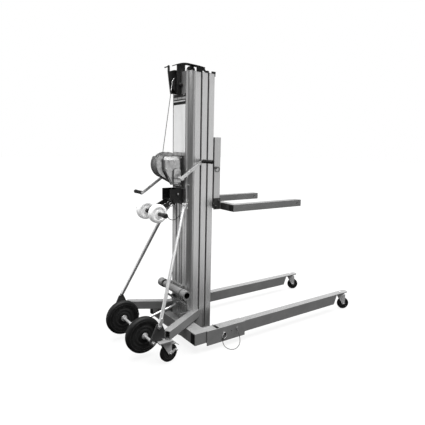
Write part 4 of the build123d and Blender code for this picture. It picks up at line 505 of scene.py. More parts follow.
def curve_carrier(kind, lines):
    """Curve object that carries lines of points, as splines of one kind."""
    data = bpy.data.curves.new("lines", "CURVE")
    data.dimensions = "3D"
    data.resolution_u = NURBS_STEPS
    for points in lines:
        spline = data.splines.new(kind)
        spline.points.add(len(points) - 1)
        for control, point in zip(spline.points, points):
            control.co = (*point, 1.0)
        spline.order_u = NURBS_ORDER
        spline.use_endpoint_u = True
    return placed("lines", data)


def rope(carrier, name, radius, lay, step, finish):
    """Stranded piece along the lines of a carrier."""
    values = {"Radius": radius, "Lay Length": lay, "Step": step, "Strands": STRANDS, "Finish": finish}
    return made_plain(carrier, rope_tree, name, **values)


# %% [markdown]
# ## The two free wires
# A thin wire keeps the right leg pin from getting lost, and another ties the loading axle to the
# mast. Each has a fixed length and hangs under its own weight. A NURBS spline, with the points of the
# route as its controls, gives one smooth line. The rope tree then sweeps it.

# %% Routes of the free wires
# The tips of the lobes stand proud, so that the mean width over the strands comes near to the wire's own.
WIRE_R = 2.0 * MM
STRAND_R = 1.2 * WIRE_R
WIRE_LAY = 0.014
WIRE_STEP = 0.0018
LEG_WIRE = (
    (356, 163, 66),
    (361, 155, 50),
    (371, 154, 34),
    (385, 160, 18),
    (403, 174, 7),
    (420, 196, 3.5),
    (428.5, 220, 7),
    (429.5, 244, 19),
    (422, 263, 38),
    (407, 274, 60),
    (390, 280, 81),
    (371, 284, 99),
    (356, 286, 111),
    (347.5, 286.5, 115),
)
LOADING_WIRE = (
    (203, -202.5, 951.7),
    (192, -189, 938),
    (172, -166, 925),
    (146, -138, 916),
    (115, -107, 910),
    (82, -75, 907),
    (48, -44, 906),
    (22, -20, 906.5),
    (2, -2, 908),
)


def free_wire(name, route):
    """Thin stranded wire along a route, with the points of its line and its length."""
    carrier = curve_carrier("NURBS", [[spot(*point) for point in route]])
    line = evaluated_mesh(carrier)
    path = [vertex.co.copy() for vertex in line.vertices]
    bpy.data.meshes.remove(line)
    length = sum((b - a).length for a, b in zip(path, path[1:]))
    piece = rope(carrier, name, STRAND_R, WIRE_LAY, WIRE_STEP, TIE_WIRE)
    print(name, "length", round(length, 4), "m")
    return piece, path, length


leg_wire, leg_path, leg_length = free_wire("leg_wire", LEG_WIRE)
loading_wire, loading_path, loading_length = free_wire("loading_wire", LOADING_WIRE)

# %% [markdown]
# ## Ends of the free wires
# Each end of a wire has a crimped sleeve, and a small loop where it ties to a ring or a knob. The loop is
# a ring of round wire. The sleeve is a short tube with a waist where the tool pressed it. It is turned
# from a profile: one list of distances and radii along an axis, spun round it. The same turning helper
# makes other small round pieces.

# %% Turned pieces and rings
SHARP_ANGLE = math.radians(40)
CRIMP_PROFILE = ((0, 2.2), (0.4, 3.2), (4.0, 3.4), (6.0, 2.8), (8.0, 3.4), (11.6, 3.2), (12.0, 2.2))


def axes_for(direction):
    """A direction of length one, and two more square to it."""
    way = direction.normalized()
    helper = UPWARD if abs(way.z) < 0.9 else SIDEWAYS
    first = way.cross(helper).normalized()
    return way, first, way.cross(first)


def band(first, second, count):
    """Faces between two closed rows of points, from the numbers at which the rows start."""
    faces = []
    for step in range(count):
        ahead = (step + 1) % count
        faces.append((first + step, first + ahead, second + ahead, second + step))
    return faces


def turned(start, direction, profile, count=20, hollow=False):
    """Vertices and faces of a shape turned about an axis from (distance, radius) pairs.

    A hollow shape closes its profile on itself, and a full one gets two end faces.
    """
    way, first, second = axes_for(direction)
    points, faces = [], []
    for distance, radius in profile:
        for step in range(count):
            angle = math.tau * step / count
            spoke = math.cos(angle) * first + math.sin(angle) * second
            points.append(start + way * distance + spoke * radius)
    rows = [row * count for row in range(len(profile))]
    for low, high in zip(rows, rows[1:]):
        faces += band(low, high, count)
    if hollow:
        faces += band(rows[-1], 0, count)
    else:
        faces.append(tuple(reversed(range(count))))
        faces.append(tuple(range(rows[-1], rows[-1] + count)))
    return points, faces


def ring(centre, normal, radius, wire, count=28, sides=8):
    """Vertices and faces of a round ring of wire."""
    way, first, second = axes_for(normal)
    points, faces = [], []
    for step in range(count):
        angle = math.tau * step / count
        out = math.cos(angle) * first + math.sin(angle) * second
        for side in range(sides):
            turn = math.tau * side / sides
            points.append(centre + out * (radius + wire * math.cos(turn)) + way * (wire * math.sin(turn)))
    for step in range(count):
        ahead = (step + 1) % count
        for side in range(sides):
            beside = (side + 1) % sides
            faces.append(
                (step * sides + side, ahead * sides + side, ahead * sides + beside, step * sides + beside)
            )
    return points, faces


def outward(mesh):
    """Turn all faces of a closed mesh outwards."""
    work = bmesh.new()
    work.from_mesh(mesh)
    bmesh.ops.recalc_face_normals(work, faces=work.faces)
    work.to_mesh(mesh)
    work.free()


def joined(name, shapes, material, body, smooth=True):
    """One piece from several shapes, facing outwards, riding on a body."""
    points, faces = [], []
    for shape_points, shape_faces in shapes:
        start = len(points)
        points += shape_points
        faces += [tuple(start + corner for corner in face) for face in shape_faces]
    mesh = bpy.data.meshes.new(name)
    mesh.from_pydata(points, [], faces)
    mesh.materials.append(material)
    mesh.polygons.foreach_set("use_smooth", [smooth] * len(mesh.polygons))
    mesh.validate()
    piece = placed(name, mesh)
    outward(mesh)
    if smooth:
        mesh.set_sharp_from_angle(angle=SHARP_ANGLE)
    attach(piece, body)
    return piece


def crimp(path_start, path_next):
    """Sleeve pressed onto a wire's end."""
    return turned(path_start, path_next - path_start, millimetres(CRIMP_PROFILE), 14)


# %% Loops and sleeves of the two wires
PULL_RING = spot(351.5, 178, 84)
PULL_RING_R = 18
RING_HANG = Vector((0, -0.64, -0.768))
RING_TANGENT = Vector((0, 0.768, -0.64))
LOOP_R = 6.0 * MM
LOOP_GAP = 2.2
KNOB = spot(203, -220, 958)
KNOB_OUT = Vector((0, 16.5, -6)).normalized()
KNOB_REACH = 19.0
EYE_R = 4.0 * MM
LOOP_WIRE_R = 1.5 * MM
ring_point = PULL_RING + RING_HANG * PULL_RING_R * MM
to_wire = (leg_path[0] - ring_point).normalized()
leg_loop = ring(ring_point + to_wire * LOOP_GAP * MM, RING_TANGENT, LOOP_R, LOOP_WIRE_R)
leg_end_near = joined(
    "leg_wire_loop", [leg_loop, crimp(leg_path[0], leg_path[4])], PIN_STEEL, "pin_right"
)
leg_end_far = joined(
    "leg_wire_anchor", [crimp(leg_path[-1], leg_path[-5])], PIN_STEEL, "frame"
)
loading_end_shapes = [
    ring(KNOB + KNOB_OUT * KNOB_REACH * MM, SIDEWAYS, EYE_R, LOOP_WIRE_R),
    crimp(loading_path[0], loading_path[4]),
    crimp(loading_path[-1], loading_path[-5]),
]
loading_ends = joined("loading_wire_ends", loading_end_shapes, BRIGHT_ZINC, "frame")

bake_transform(leg_wire)
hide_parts("leg_lanyard")
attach(loading_wire, "frame")
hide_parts("loading_lanyard")

# %% [markdown]
# ## The hoist cable
# One cable runs from the drum over the top pulley, down inside the mast, and round two pairs of
# sheaves to the carriage. Most stretches ride on the section that carries them. A straight stretch
# between two sections gets shorter as the mast extends. The turns on the drum follow a helix.

# %% Lines of the hoist cable
CABLE_R = 2.5 * MM
CABLE_LAY = 0.032
CABLE_STEP = 0.004
PULLEY_R = 50 * MM
SHEAVE_R = 28 * MM
PULLEY = spot(0, -10, 1827)
DRUM = spot(0, -108.4, 1284)
WINDING_R = 50 * MM
WINDING_TURNS = 10
WINDING_PITCH = 5.6 * MM
TURN_STEPS = 48
PARTING_RISE = 23.6
UPPER_Z_2 = 1938
UPPER_Z_3 = 1926
LOWER_Z = 170


def swing(centre, first, second, radius, start, end, steps):
    """Points of an arc in the plane of two directions, between two angles."""
    points = []
    for step in range(steps + 1):
        angle = start + (end - start) * step / steps
        points.append(centre + (first * math.cos(angle) + second * math.sin(angle)) * radius)
    return points


run = (DRUM - PULLEY).normalized()
spoke_angle = math.atan2(-run.y, run.z)
turns_line = []
for step in range(WINDING_TURNS * TURN_STEPS + 1):
    turn = step / TURN_STEPS
    angle = spoke_angle + math.tau * turn
    spoke = FORWARD * math.cos(angle) + UPWARD * math.sin(angle)
    turns_line.append(DRUM + spoke * WINDING_R + SIDEWAYS * WINDING_PITCH * (WINDING_TURNS / 2 - turn))
over_pulley = swing(PULLEY, FORWARD, UPWARD, PULLEY_R, spoke_angle, 0.0, 32)
cable_up = (over_pulley[0] - turns_line[0]).normalized()
parting = turns_line[0] + cable_up * PARTING_RISE * MM
hoist_line = [parting] + over_pulley
winding_line = [parting] + turns_line


def section_line(back, sheave_x, sheave_z):
    """Line of a section's cable: under its lower sheave, up its back and over its top sheave."""
    low = spot(0, back, LOWER_Z) - FORWARD * SHEAVE_R
    high = spot(sheave_x, back, sheave_z)
    hand = SIDEWAYS if sheave_x > 0 else -SIDEWAYS
    under = swing(low, -hand, -UPWARD, SHEAVE_R, 0.0, math.pi, 24)
    over = swing(high, -FORWARD, UPWARD, SHEAVE_R, 0.0, math.pi, 24)
    return under + over


# %% Make the cable, stretch by stretch
def hoist_piece(name, line, node, finish=HOIST_WIRE):
    """Stretch of hoist cable that stands for its plain solid."""
    piece = rope(curve_carrier("POLY", [line]), name, CABLE_R, CABLE_LAY, CABLE_STEP, finish)
    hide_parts(node)
    return piece


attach(hoist_piece("rope_outer_run", hoist_line, "hoist_cable"), "frame")
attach(hoist_piece("rope_on_drum", winding_line, "cable_winding", LIT_DRUM_WIRE), "drum")
section_2_line = section_line(106, -28, UPPER_Z_2)
section_3_line = section_line(162, 28, UPPER_Z_3)
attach(hoist_piece("rope_section_2", section_2_line, "cable_section_2"), "mast_2")
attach(hoist_piece("rope_section_3", section_3_line, "cable_section_3"), "mast_3")

drop_2_line = [spot(0, 40, 1827), spot(28, 78, 450), spot(28, 78, LOWER_Z)]
drop_2 = hoist_piece("rope_drop_2", drop_2_line, "cable_drop_2")
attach(drop_2, "frame")
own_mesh(drop_2)
drop_3 = hoist_piece("rope_drop_3", [spot(-28, 134, UPPER_Z_2), spot(-28, 134, LOWER_Z)], "cable_drop_3")
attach(drop_3, "mast_2")
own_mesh(drop_3)
drop_line = [spot(28, 190, UPPER_Z_3), spot(28, 190, 1378)]
drop_end = hoist_piece("rope_drop_carriage", drop_line, "cable_drop_carriage")
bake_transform(drop_end)

# %% [markdown]
# ## Bolts and screws
# Dozens of hexagon heads hold the machine together. Placing each by hand would be slow and uneven, so a
# tree sets one head on every point of a cloud: a washer, six flats and a chamfered top. Each point
# carries the way it faces and its width as attributes, and the tree turns and scales the head by them.

# %% The bolt tree
# A head is built one unit wide, and its point's width scales it.
WASHER_TOP = 0.12
FLATS_SHARE = 0.82
CORNER_R = 0.577
CROWN_R = 0.46
CYLINDER = "GeometryNodeMeshCylinder"
CONE = "GeometryNodeMeshCone"
bolt_tree, entry, leave = new_maker("bolt heads", {"Head Height": 0.6, "Washer Width": 1.25})


def stacked(tree, kind, low, high, sizes):
    """Short round or six-sided block between two heights."""
    depth = math_node(tree, "SUBTRACT", high, low)
    block = add_node(tree, kind, {**sizes, "Depth": depth})
    foot = low
    if kind == CYLINDER:
        foot = math_node(tree, "ADD", low, math_node(tree, "MULTIPLY", depth, 0.5))
    lift = add_node(tree, "ShaderNodeCombineXYZ", {"Z": foot})
    feeds = {"Geometry": block.outputs["Mesh"], "Translation": lift.outputs[0]}
    return add_node(tree, "GeometryNodeTransform", feeds).outputs[0]


head_top = entry.outputs["Head Height"]
flats_top = math_node(bolt_tree, "MULTIPLY", head_top, FLATS_SHARE)
washer_r = math_node(bolt_tree, "MULTIPLY", entry.outputs["Washer Width"], 0.5)
crown = {"Vertices": 6, "Radius Top": CROWN_R, "Radius Bottom": CORNER_R}
blocks = (
    stacked(bolt_tree, CYLINDER, 0.0, WASHER_TOP, {"Vertices": 18, "Radius": washer_r}),
    stacked(bolt_tree, CYLINDER, WASHER_TOP, flats_top, {"Vertices": 6, "Radius": CORNER_R}),
    stacked(bolt_tree, CONE, flats_top, head_top, crown),
)
head = add_node(bolt_tree, "GeometryNodeJoinGeometry")
for block in blocks:
    bolt_tree.links.new(block, head.inputs[0])
facing = add_node(bolt_tree, "GeometryNodeInputNamedAttribute", {"Name": "facing"}, data_type="FLOAT_VECTOR")
width = add_node(bolt_tree, "GeometryNodeInputNamedAttribute", {"Name": "width"}, data_type="FLOAT")
upright = {"Vector": facing.outputs["Attribute"]}
turned_to = add_node(bolt_tree, "FunctionNodeAlignRotationToVector", upright, axis="Z")
feeds = {
    "Points": entry.outputs["Geometry"],
    "Instance": head.outputs[0],
    "Rotation": turned_to.outputs[0],
    "Scale": width.outputs["Attribute"],
}
heads = add_node(bolt_tree, "GeometryNodeInstanceOnPoints", feeds)
end_maker(bolt_tree, entry, leave, heads.outputs[0], False)


# %% Where the bolts sit
def both_sides(rows):
    """The same rows on the right and on the left."""
    mirrored = [((-x, y, z), (-fx, fy, fz), size) for (x, y, z), (fx, fy, fz), size in rows]
    return list(rows) + mirrored


def caster_axes(yaw):
    """Directions along a caster's axle and from its swivel to the axle, for its turn in degrees."""
    turn = math.radians(yaw)
    axle = Vector((math.cos(turn), math.sin(turn), 0))
    return axle, Vector((-math.sin(turn), math.cos(turn), 0))


def caster_nuts(x, y, yaw, trail, height, reach, size):
    """Nuts on the two ends of a caster's axle."""
    axle, behind = caster_axes(yaw)
    rows = []
    for hand in (-1, 1):
        place = Vector((x, y, height)) + behind * trail + axle * reach * hand
        rows.append((tuple(place), tuple(axle * hand), size))
    return rows


REAR = (0, -1, 0)
AHEAD = (0, 1, 0)
ASIDE = (1, 0, 0)
LEFTWARD = (-1, 0, 0)
ABOVE = (0, 0, 1)
BELOW = (0, 0, -1)
COLUMN_ROUND = (0.733, -0.68, 0)
frame_bolts = both_sides(
    [
        ((109.3, 11.6, 1029), COLUMN_ROUND, 12),
        ((109.3, 11.6, 1142), COLUMN_ROUND, 12),
        ((52, -14, 1134), REAR, 12),
        ((52, -14, 1330), REAR, 12),
        ((60, -45, 1079), ASIDE, 13),
        ((70, -6, 1756), REAR, 10),
        ((128, 92, 172), ASIDE, 12),
        ((322, -324, 259), ASIDE, 14),
        ((107, -16, 1003), ASIDE, 13),
        ((326, -370, 160), ASIDE, 20),
        ((60, -18, 395), REAR, 10),
        ((60, -18, 349), REAR, 10),
        ((104, 96.5, 1923), ABOVE, 8),
        *(((x, y, 152), BELOW, 8) for y in (-330, -250) for x in (286, 342)),
    ]
)
frame_bolts += [
    ((72, -43, 1247), ASIDE, 8),
    ((72, -80, 1307), ASIDE, 8),
    ((72, -121, 1307), ASIDE, 8),
    ((72, -143, 1256), ASIDE, 8),
    ((72, -86, 1157), ASIDE, 8),
    ((72, -43, 1157), ASIDE, 8),
    ((-50, -108.4, 1284), LEFTWARD, 18),
    ((346, 291, 117.5), ASIDE, 10),
    ((0, 0, 912), REAR, 9),
]
head_bolts = both_sides([((28, -10, 1827), ASIDE, 20)])
section_2_bolts = both_sides([((104, 152.5, 1923), ABOVE, 8)])
section_2_bolts += [((-41, 106, 1938), LEFTWARD, 13), ((-15, 106, 1938), ASIDE, 13)]
section_3_bolts = both_sides([((104, 208.5, 1923), ABOVE, 8)])
section_3_bolts += [((41, 162, 1926), ASIDE, 13), ((15, 162, 1926), LEFTWARD, 13)]
carriage_bolts = both_sides(
    [
        ((130, 234, 985), ASIDE, 13),
        ((130, 258, 1024), ASIDE, 13),
        ((98, 278, 1027), AHEAD, 12),
        ((40, 278, 1027), AHEAD, 12),
    ]
)
BOLTS = {
    "frame": ("frame", frame_bolts, BOLT_ZINC),
    "head": ("frame", head_bolts, BLACK_PAINT),
    "mast_2": ("mast_2", section_2_bolts, BOLT_ZINC),
    "mast_3": ("mast_3", section_3_bolts, BOLT_ZINC),
    "lift_carriage": ("lift_carriage", carriage_bolts, DARK_PAINT),
}
CASTERS = {
    "rear_{}_right": (314, -290, 6, 37, 62.5, 25, 15),
    "rear_{}_left": (-314, -290, -6, 37, 62.5, 25, 15),
    "front_{}_right": (311, 1484, -31, 33, 50, 24, 14),
    "front_{}_left": (-311, 1484, -31, 33, 50, 24, 14),
}
for caster, sizes in CASTERS.items():
    body = caster.format("swivel")
    BOLTS[body] = (body, caster_nuts(*sizes), BOLT_ZINC)
for label, (body, rows, finish) in BOLTS.items():
    cloud = bpy.data.meshes.new("bolt points")
    cloud.from_pydata([spot(*place) for place, way, size in rows], [], [])
    ways = cloud.attributes.new("facing", "FLOAT_VECTOR", "POINT")
    ways.data.foreach_set("vector", [part for place, way, size in rows for part in way])
    sizes = cloud.attributes.new("width", "FLOAT", "POINT")
    sizes.data.foreach_set("value", [size * MM for place, way, size in rows])
    bolts = made_plain(placed("bolt points", cloud), bolt_tree, f"bolts_{label}", Finish=finish)
    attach(bolts, body)

# %% [markdown]
# ## Weld beads
# The base and the forks are welded from tube. A weld shows as a rippled bead in the corner between
# two parts. The bead tree sweeps a round section along each corner, and its width swells and shrinks
# by a sine of the distance, one swell for each drop of weld metal.

# %% The bead tree
SWELL_SHARE = 0.14
bead_tree, entry, leave = new_maker("weld bead", {"Radius": 0.0032, "Ripple": 0.006, "Step": 0.002})
steps, along = stepped(bead_tree, entry)
drops = math_node(bead_tree, "DIVIDE", along, entry.outputs["Ripple"])
wave = math_node(bead_tree, "MULTIPLY", drops, math.tau)
swell = math_node(bead_tree, "MULTIPLY", math_node(bead_tree, "SINE", wave, 0.0), SWELL_SHARE)
circle = {"Resolution": 8, "Radius": entry.outputs["Radius"]}
section = add_node(bead_tree, "GeometryNodeCurvePrimitiveCircle", circle)
feeds = {
    "Curve": steps,
    "Profile Curve": section.outputs["Curve"],
    "Scale": math_node(bead_tree, "ADD", swell, 1.0),
    "Fill Caps": True,
}
swept = add_node(bead_tree, "GeometryNodeCurveToMesh", feeds)
end_maker(bead_tree, entry, leave, swept.outputs[0], True)


# %% Corners that are welded
def mirrored_lines(lines):
    """Lines on the right, and the same on the left."""
    return list(lines) + [[(-x, y, z) for x, y, z in line] for line in lines]


base_welds = mirrored_lines(
    [
        [(128, -64, 149), (128, 34, 149)],
        [(128, 96, 66), (128, 35, 66)],
        [(129, 35.5, 147), (129, 35.5, 68)],
        [(281, 35.5, 146), (281, 35.5, 68)],
        [(346, 33, 147), (340, 32, 147)],
        [(340.5, 31.5, 146), (340.5, 31.5, 66)],
        [(275.5, 120, 150), (275.5, 130, 150)],
        [(128.5, 13, 220), (128.5, 82, 220)],
        [(128.5, 13, 160), (128.5, 82, 160)],
    ]
)
arm_welds = mirrored_lines(
    [
        [(316.5, -283, 176), (316.5, -283, 218)],
        [(305.5, -300, 160.5), (305.5, -305, 160.5)],
    ]
)
fork_welds = mirrored_lines(
    [
        [(230, 324.5, 1010), (230, 324.5, 960)],
        [(130.5, 273.5, 1008), (130.5, 273.5, 962)],
        [(128, 278, 1010.5), (20, 278, 1010.5)],
    ]
)
socket_welds = mirrored_lines([[(80, -18.5, 404), (80, -18.5, 340)]])


def weld(name, lines, body):
    """Beads along drawing lines, in the paint of the frame."""
    carrier = curve_carrier("POLY", [[spot(*point) for point in line] for line in lines])
    beads = made_plain(carrier, bead_tree, name, Finish=GREY_PAINT)
    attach(beads, body)


weld("welds_base", base_welds + arm_welds + socket_welds, "frame")
weld("welds_forks", fork_welds, "lift_carriage")

# %% [markdown]
# ## Plates, plugs and painted shade
# A bare white plate is stuck to the back of the mast, with a black band and a bright strip above it.
# Black plugs close the ends of the fork arms. Black blocks on the rear face at each end of the base
# are painted shade, standing for the shade inside the open tube ends. All are thin blocks with
# rounded corners. A bevel on the corner edges, and a second, smaller one on the rims, gives the
# highlight that a plain block lacks.

# %% Rounded blocks
THROUGH = 1
LEAST_RUN = 1e-9


def rounded_block(name, low, high, corner, rim, material, body, slot):
    """Block between two drawing corners, with rounded corners seen from behind and softened rims."""
    work = bmesh.new()
    bmesh.ops.create_cube(work, size=1.0)
    low, high = spot(*low), spot(*high)
    for vertex in work.verts:
        for part in range(3):
            vertex.co[part] = low[part] if vertex.co[part] < 0 else high[part]
    along = [edge for edge in work.edges if abs((edge.verts[0].co - edge.verts[1].co)[THROUGH]) > LEAST_RUN]
    bmesh.ops.bevel(work, geom=along, offset=corner * MM, segments=5, affect="EDGES", profile=0.5)
    rims = [edge for edge in work.edges if abs((edge.verts[0].co - edge.verts[1].co)[THROUGH]) < LEAST_RUN]
    bmesh.ops.bevel(work, geom=rims, offset=rim * MM, segments=2, affect="EDGES", profile=0.5)
    bmesh.ops.recalc_face_normals(work, faces=work.faces)
    mesh = bpy.data.meshes.new(name)
    work.to_mesh(mesh)
    work.free()
    mesh.materials.append(material)
    piece = placed(name, mesh)
    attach(piece, body)


MAST_TRIM = {
    "mast_plate": ((-81, -1.2, 1368), (81, 0, 1694), 5, 0.3, WHITE_PLATE, "white_plastic"),
    "mast_band": ((-80, -1.8, 1697), (80, 0, 1731), 2, 0.4, BLACK_PLASTIC, "black_plastic"),
    "mast_strip": ((-79, -4.2, 1714), (79, -1.8, 1723), 1, 0.5, BRACE_ZINC, "zinc"),
}
for name, (low, high, corner, rim, finish, slot) in MAST_TRIM.items():
    rounded_block(name, low, high, corner, rim, finish, "frame", slot)
PLUG_CORNER = 4
PLUG_RIM = 0.8
PLUGS = {
    "fork_plug": ((238, 270.5, 966), (282, 274, 1004), "lift_carriage"),
    "fork_tip_plug": ((234.5, 940, 964.5), (285.5, 946, 1005.5), "lift_carriage"),
    # The black blocks on the rear face at each end of the base are painted shade, standing for the shade
    # inside the open tube ends.
    "base_end_shade": ((287, -67, 71), (335, -65, 143), "frame"),
}
for name, (low, high, body) in PLUGS.items():
    for hand, side in HANDS:
        low_x, high_x = sorted((hand * low[0], hand * high[0]))
        block = (low_x, *low[1:]), (high_x, *high[1:]), PLUG_CORNER, PLUG_RIM
        rounded_block(f"{name}_{side}", *block, BLACK_PLASTIC, body, "black_plastic")
print("plates and plugs made")

# %% [markdown]
# ## Round detail on the running gear
# The wheels have moulded hubs with a raised bead, the axle a flange against each hub, and the
# rear casters a brake arm on the axle. All the round ones are turned from a profile, as the crimps
# were. One profile serves all six hubs, because a hub scales with its wheel. Caps close the grips and the
# right leg pin. A black lining just inside the mouth of each socket is painted shade, standing for
# the shade in its bore.

# %% Hubs and the axle
AXLE_Y = -370
AXLE_Z = 160
TRANSPORT_X = 172
TRANSPORT_WEB = 16.2
TRANSPORT_HUB_R = 88
TYRE_RIB = (103, 24.6)
RIB_R = 1.6 * MM
CASTER_WEBS = {"rear": 12.7, "front": 11.9}
CASTER_HUB_SHARE = 0.69
HUB_PROFILE = (
    (0, 0.98), (1.5, 0.98), (2.2, 0.96), (1.2, 0.92), (1.2, 0.76), (3.6, 0.72), (4.2, 0.67), (3.4, 0.63),
    (1.4, 0.59), (1.4, 0.49), (3.6, 0.46), (3.6, 0.43),
)
HALF_SPINDLE = (
    (134, 10), (135, 15), (141, 15), (141.5, 21), (142.5, 22), (146.4, 22), (146.4, 10), (197.6, 10),
    (197.6, 22), (201.5, 22), (202.5, 21), (203, 15), (209, 15), (210, 10), (325, 10), (326, 9),
)


def hubs(name, centre, axle, web, outer, body, rib=None):
    """Moulded hub on each side of a wheel, and a rib on its tyre where one is given."""
    profile = millimetres((distance, share * outer) for distance, share in HUB_PROFILE)
    shapes = []
    for way in (axle, -axle):
        shapes.append(turned(centre + way * web * MM, way, profile, 48))
        if rib is not None:
            radius, face = rib
            shapes.append(ring(centre + way * face * MM, way, radius * MM, RIB_R, 64))
    joined(name, shapes, HUB_PLASTIC, body)


for hand, side in HANDS:
    centre = spot(TRANSPORT_X * hand, AXLE_Y, AXLE_Z)
    sizes = TRANSPORT_WEB, TRANSPORT_HUB_R
    hubs(f"transport_hub_{side}", centre, SIDEWAYS, *sizes, f"transport_{side}", TYRE_RIB)
for caster, (x, y, yaw, trail, height, *_) in CASTERS.items():
    axle, behind = caster_axes(yaw)
    centre = spot(x, y, height) + behind * trail * MM
    sizes = CASTER_WEBS[caster.split("_")[0]], CASTER_HUB_SHARE * height
    hubs(f"{caster.format('caster')}_hub", centre, axle, *sizes, caster.format("roller"))

spindle_profile = [(-x, radius) for x, radius in reversed(HALF_SPINDLE)] + list(HALF_SPINDLE)
spindle_shape = turned(spot(0, AXLE_Y, AXLE_Z), SIDEWAYS, millimetres(spindle_profile), 32)
spindle = joined("transport_spindle", [spindle_shape], BRIGHT_ZINC, "frame")
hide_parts("transport_axle")


# %% Brake arms, caps and painted bore shade
ARM_REACH = 44.0
ARM_RISE = 17.0
ARM_ROOT_R = 9.0 * MM
ARM_TIP_R = 6.0 * MM
ARM_SIDE = 22
ARM_PLATE = 3 * MM
ARM_LEAN = math.atan2(ARM_RISE, ARM_REACH)
QUARTER = math.pi / 2
TREAD_INSET = 2
TREAD_PROFILE = ((0, 5), (1, 6), (15, 6), (16, 5))
GRIP_CAP_PROFILE = ((0, 10.4), (2.8, 10.4), (3.6, 9.0))
GRIP_GAP = 0.5
BORE_SHADE_PROFILE = ((0.5, 21.5), (0.5, 21.95), (124.5, 21.95), (124.5, 21.5))
SOCKET_Y = -40
SOCKET_Z = 372
SOCKET_MOUTH_X = 190
PIN_END = (356.5, 178, 102)
PIN_CAP_PROFILE = ((-0.5, 9.2), (1.0, 9.2), (1.8, 8.0))


def slab(start, way, outline, thickness):
    """Flat plate: an outline of points, drawn out along a direction."""
    count = len(outline)
    points = [start + point for point in outline]
    points += [point + way * thickness for point in points]
    faces = [tuple(range(count)), tuple(range(count, 2 * count))]
    return points, faces + band(0, count, count)


for hand, side in HANDS:
    x, y, yaw, trail, height, *_ = CASTERS["rear_{}_" + side]
    axle, behind = caster_axes(yaw)
    axle = axle * hand
    root = spot(x, y, height) + (behind * trail + axle * ARM_SIDE) * MM
    tip = (behind * ARM_REACH + UPWARD * ARM_RISE) * MM
    outline = swing(tip, behind, UPWARD, ARM_TIP_R, ARM_LEAN - QUARTER, ARM_LEAN + QUARTER, 10)
    outline += swing(Vector(), behind, UPWARD, ARM_ROOT_R, ARM_LEAN + QUARTER, ARM_LEAN + 3 * QUARTER, 12)
    tread = turned(root + tip + axle * TREAD_INSET * MM, axle, millimetres(TREAD_PROFILE), 20)
    arm = [slab(root, axle, outline, ARM_PLATE), tread]
    joined(f"brake_arm_{side}", arm, CASTER_ZINC, f"rear_swivel_{side}")
    grip_low, grip_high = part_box(f"crank_grip_{side}")
    grip_end = (grip_low + grip_high) / 2
    grip_end.x = (grip_high if hand > 0 else grip_low).x + hand * GRIP_GAP * MM
    cap = turned(grip_end, SIDEWAYS * hand, millimetres(GRIP_CAP_PROFILE), 24)
    joined(f"grip_cap_{side}", [cap], BLACK_PLASTIC, "crank")
    # A black sleeve just inside each socket's mouth is painted shade, standing for the shade in the bore.
    mouth = spot(SOCKET_MOUTH_X * hand, SOCKET_Y, SOCKET_Z)
    bore_shade = turned(mouth, SIDEWAYS * -hand, millimetres(BORE_SHADE_PROFILE), 40, hollow=True)
    joined(f"socket_bore_shade_{side}", [bore_shade], BLACK_PLASTIC, "frame")
pin_cap = turned(spot(*PIN_END), SIDEWAYS, millimetres(PIN_CAP_PROFILE), 24)
joined("leg_pin_cap", [pin_cap], BLACK_PLASTIC, "pin_right")
print("running gear dressed")

# %% [markdown]
# ## Seams, painted shade, bars and small rings
# Dark seams part the winch cover and its boss and the socket collars from what carries them. A thin
# dark strip at the rear edge of each leg sleeve is a painted shadow, where the sleeve stands proud of
# the cross tube. The bars of the crank are sleeved to the width that they have in the hand. Narrow
# black strips down the back of the mast are painted shade, standing for the shade in its grooves, and
# each arm of the loading wheels carries a ring.

# %% Seams of the winch cover
COVER_OUTLINE = ((-31, 1145), (-31, 1309), (-55, 1343), (-146, 1343), (-160, 1321), (-156, 1242), (-96, 1145))
COVER_BACK_X = 46.0
BOSS_BACK_X = 72.0
BOSS_MID_Y = -63.0
BOSS_HALF = 29.5
BOSS_FOOT_Z = 1160.0
BOSS_ARCH_Z = 1233.0
SEAM = 1.6 * MM
SEAM_INNER = 0.88


def seam(start, way, outline):
    """Thin open frame that follows an outline, narrowed towards its middle."""
    count = len(outline)
    middle = sum(outline, Vector()) / count
    inside = [middle + (point - middle) * SEAM_INNER for point in outline]
    points = [start + point for point in outline + inside]
    points += [point + way * SEAM for point in points]
    loops = [row * count for row in (0, 1, 3, 2)]
    faces = []
    for first, second in zip(loops, loops[1:] + loops[:1]):
        faces += band(first, second, count)
    return points, faces


cover_edge = [Vector((0, y, z)) for y, z in millimetres(COVER_OUTLINE)]
boss_arch = Vector((0, BOSS_MID_Y * MM, BOSS_ARCH_Z * MM))
boss_edge = swing(boss_arch, FORWARD, UPWARD, BOSS_HALF * MM, 0.0, math.pi, 24)
for y in (BOSS_MID_Y - BOSS_HALF, BOSS_MID_Y + BOSS_HALF):
    boss_edge.append(Vector((0, y * MM, BOSS_FOOT_Z * MM)))
seams = [
    seam(spot(COVER_BACK_X, 0, 0), SIDEWAYS, cover_edge),
    seam(spot(BOSS_BACK_X, 0, 0), SIDEWAYS, boss_edge),
]
joined("winch_seams", seams, BLACK_PAINT, "frame", smooth=False)

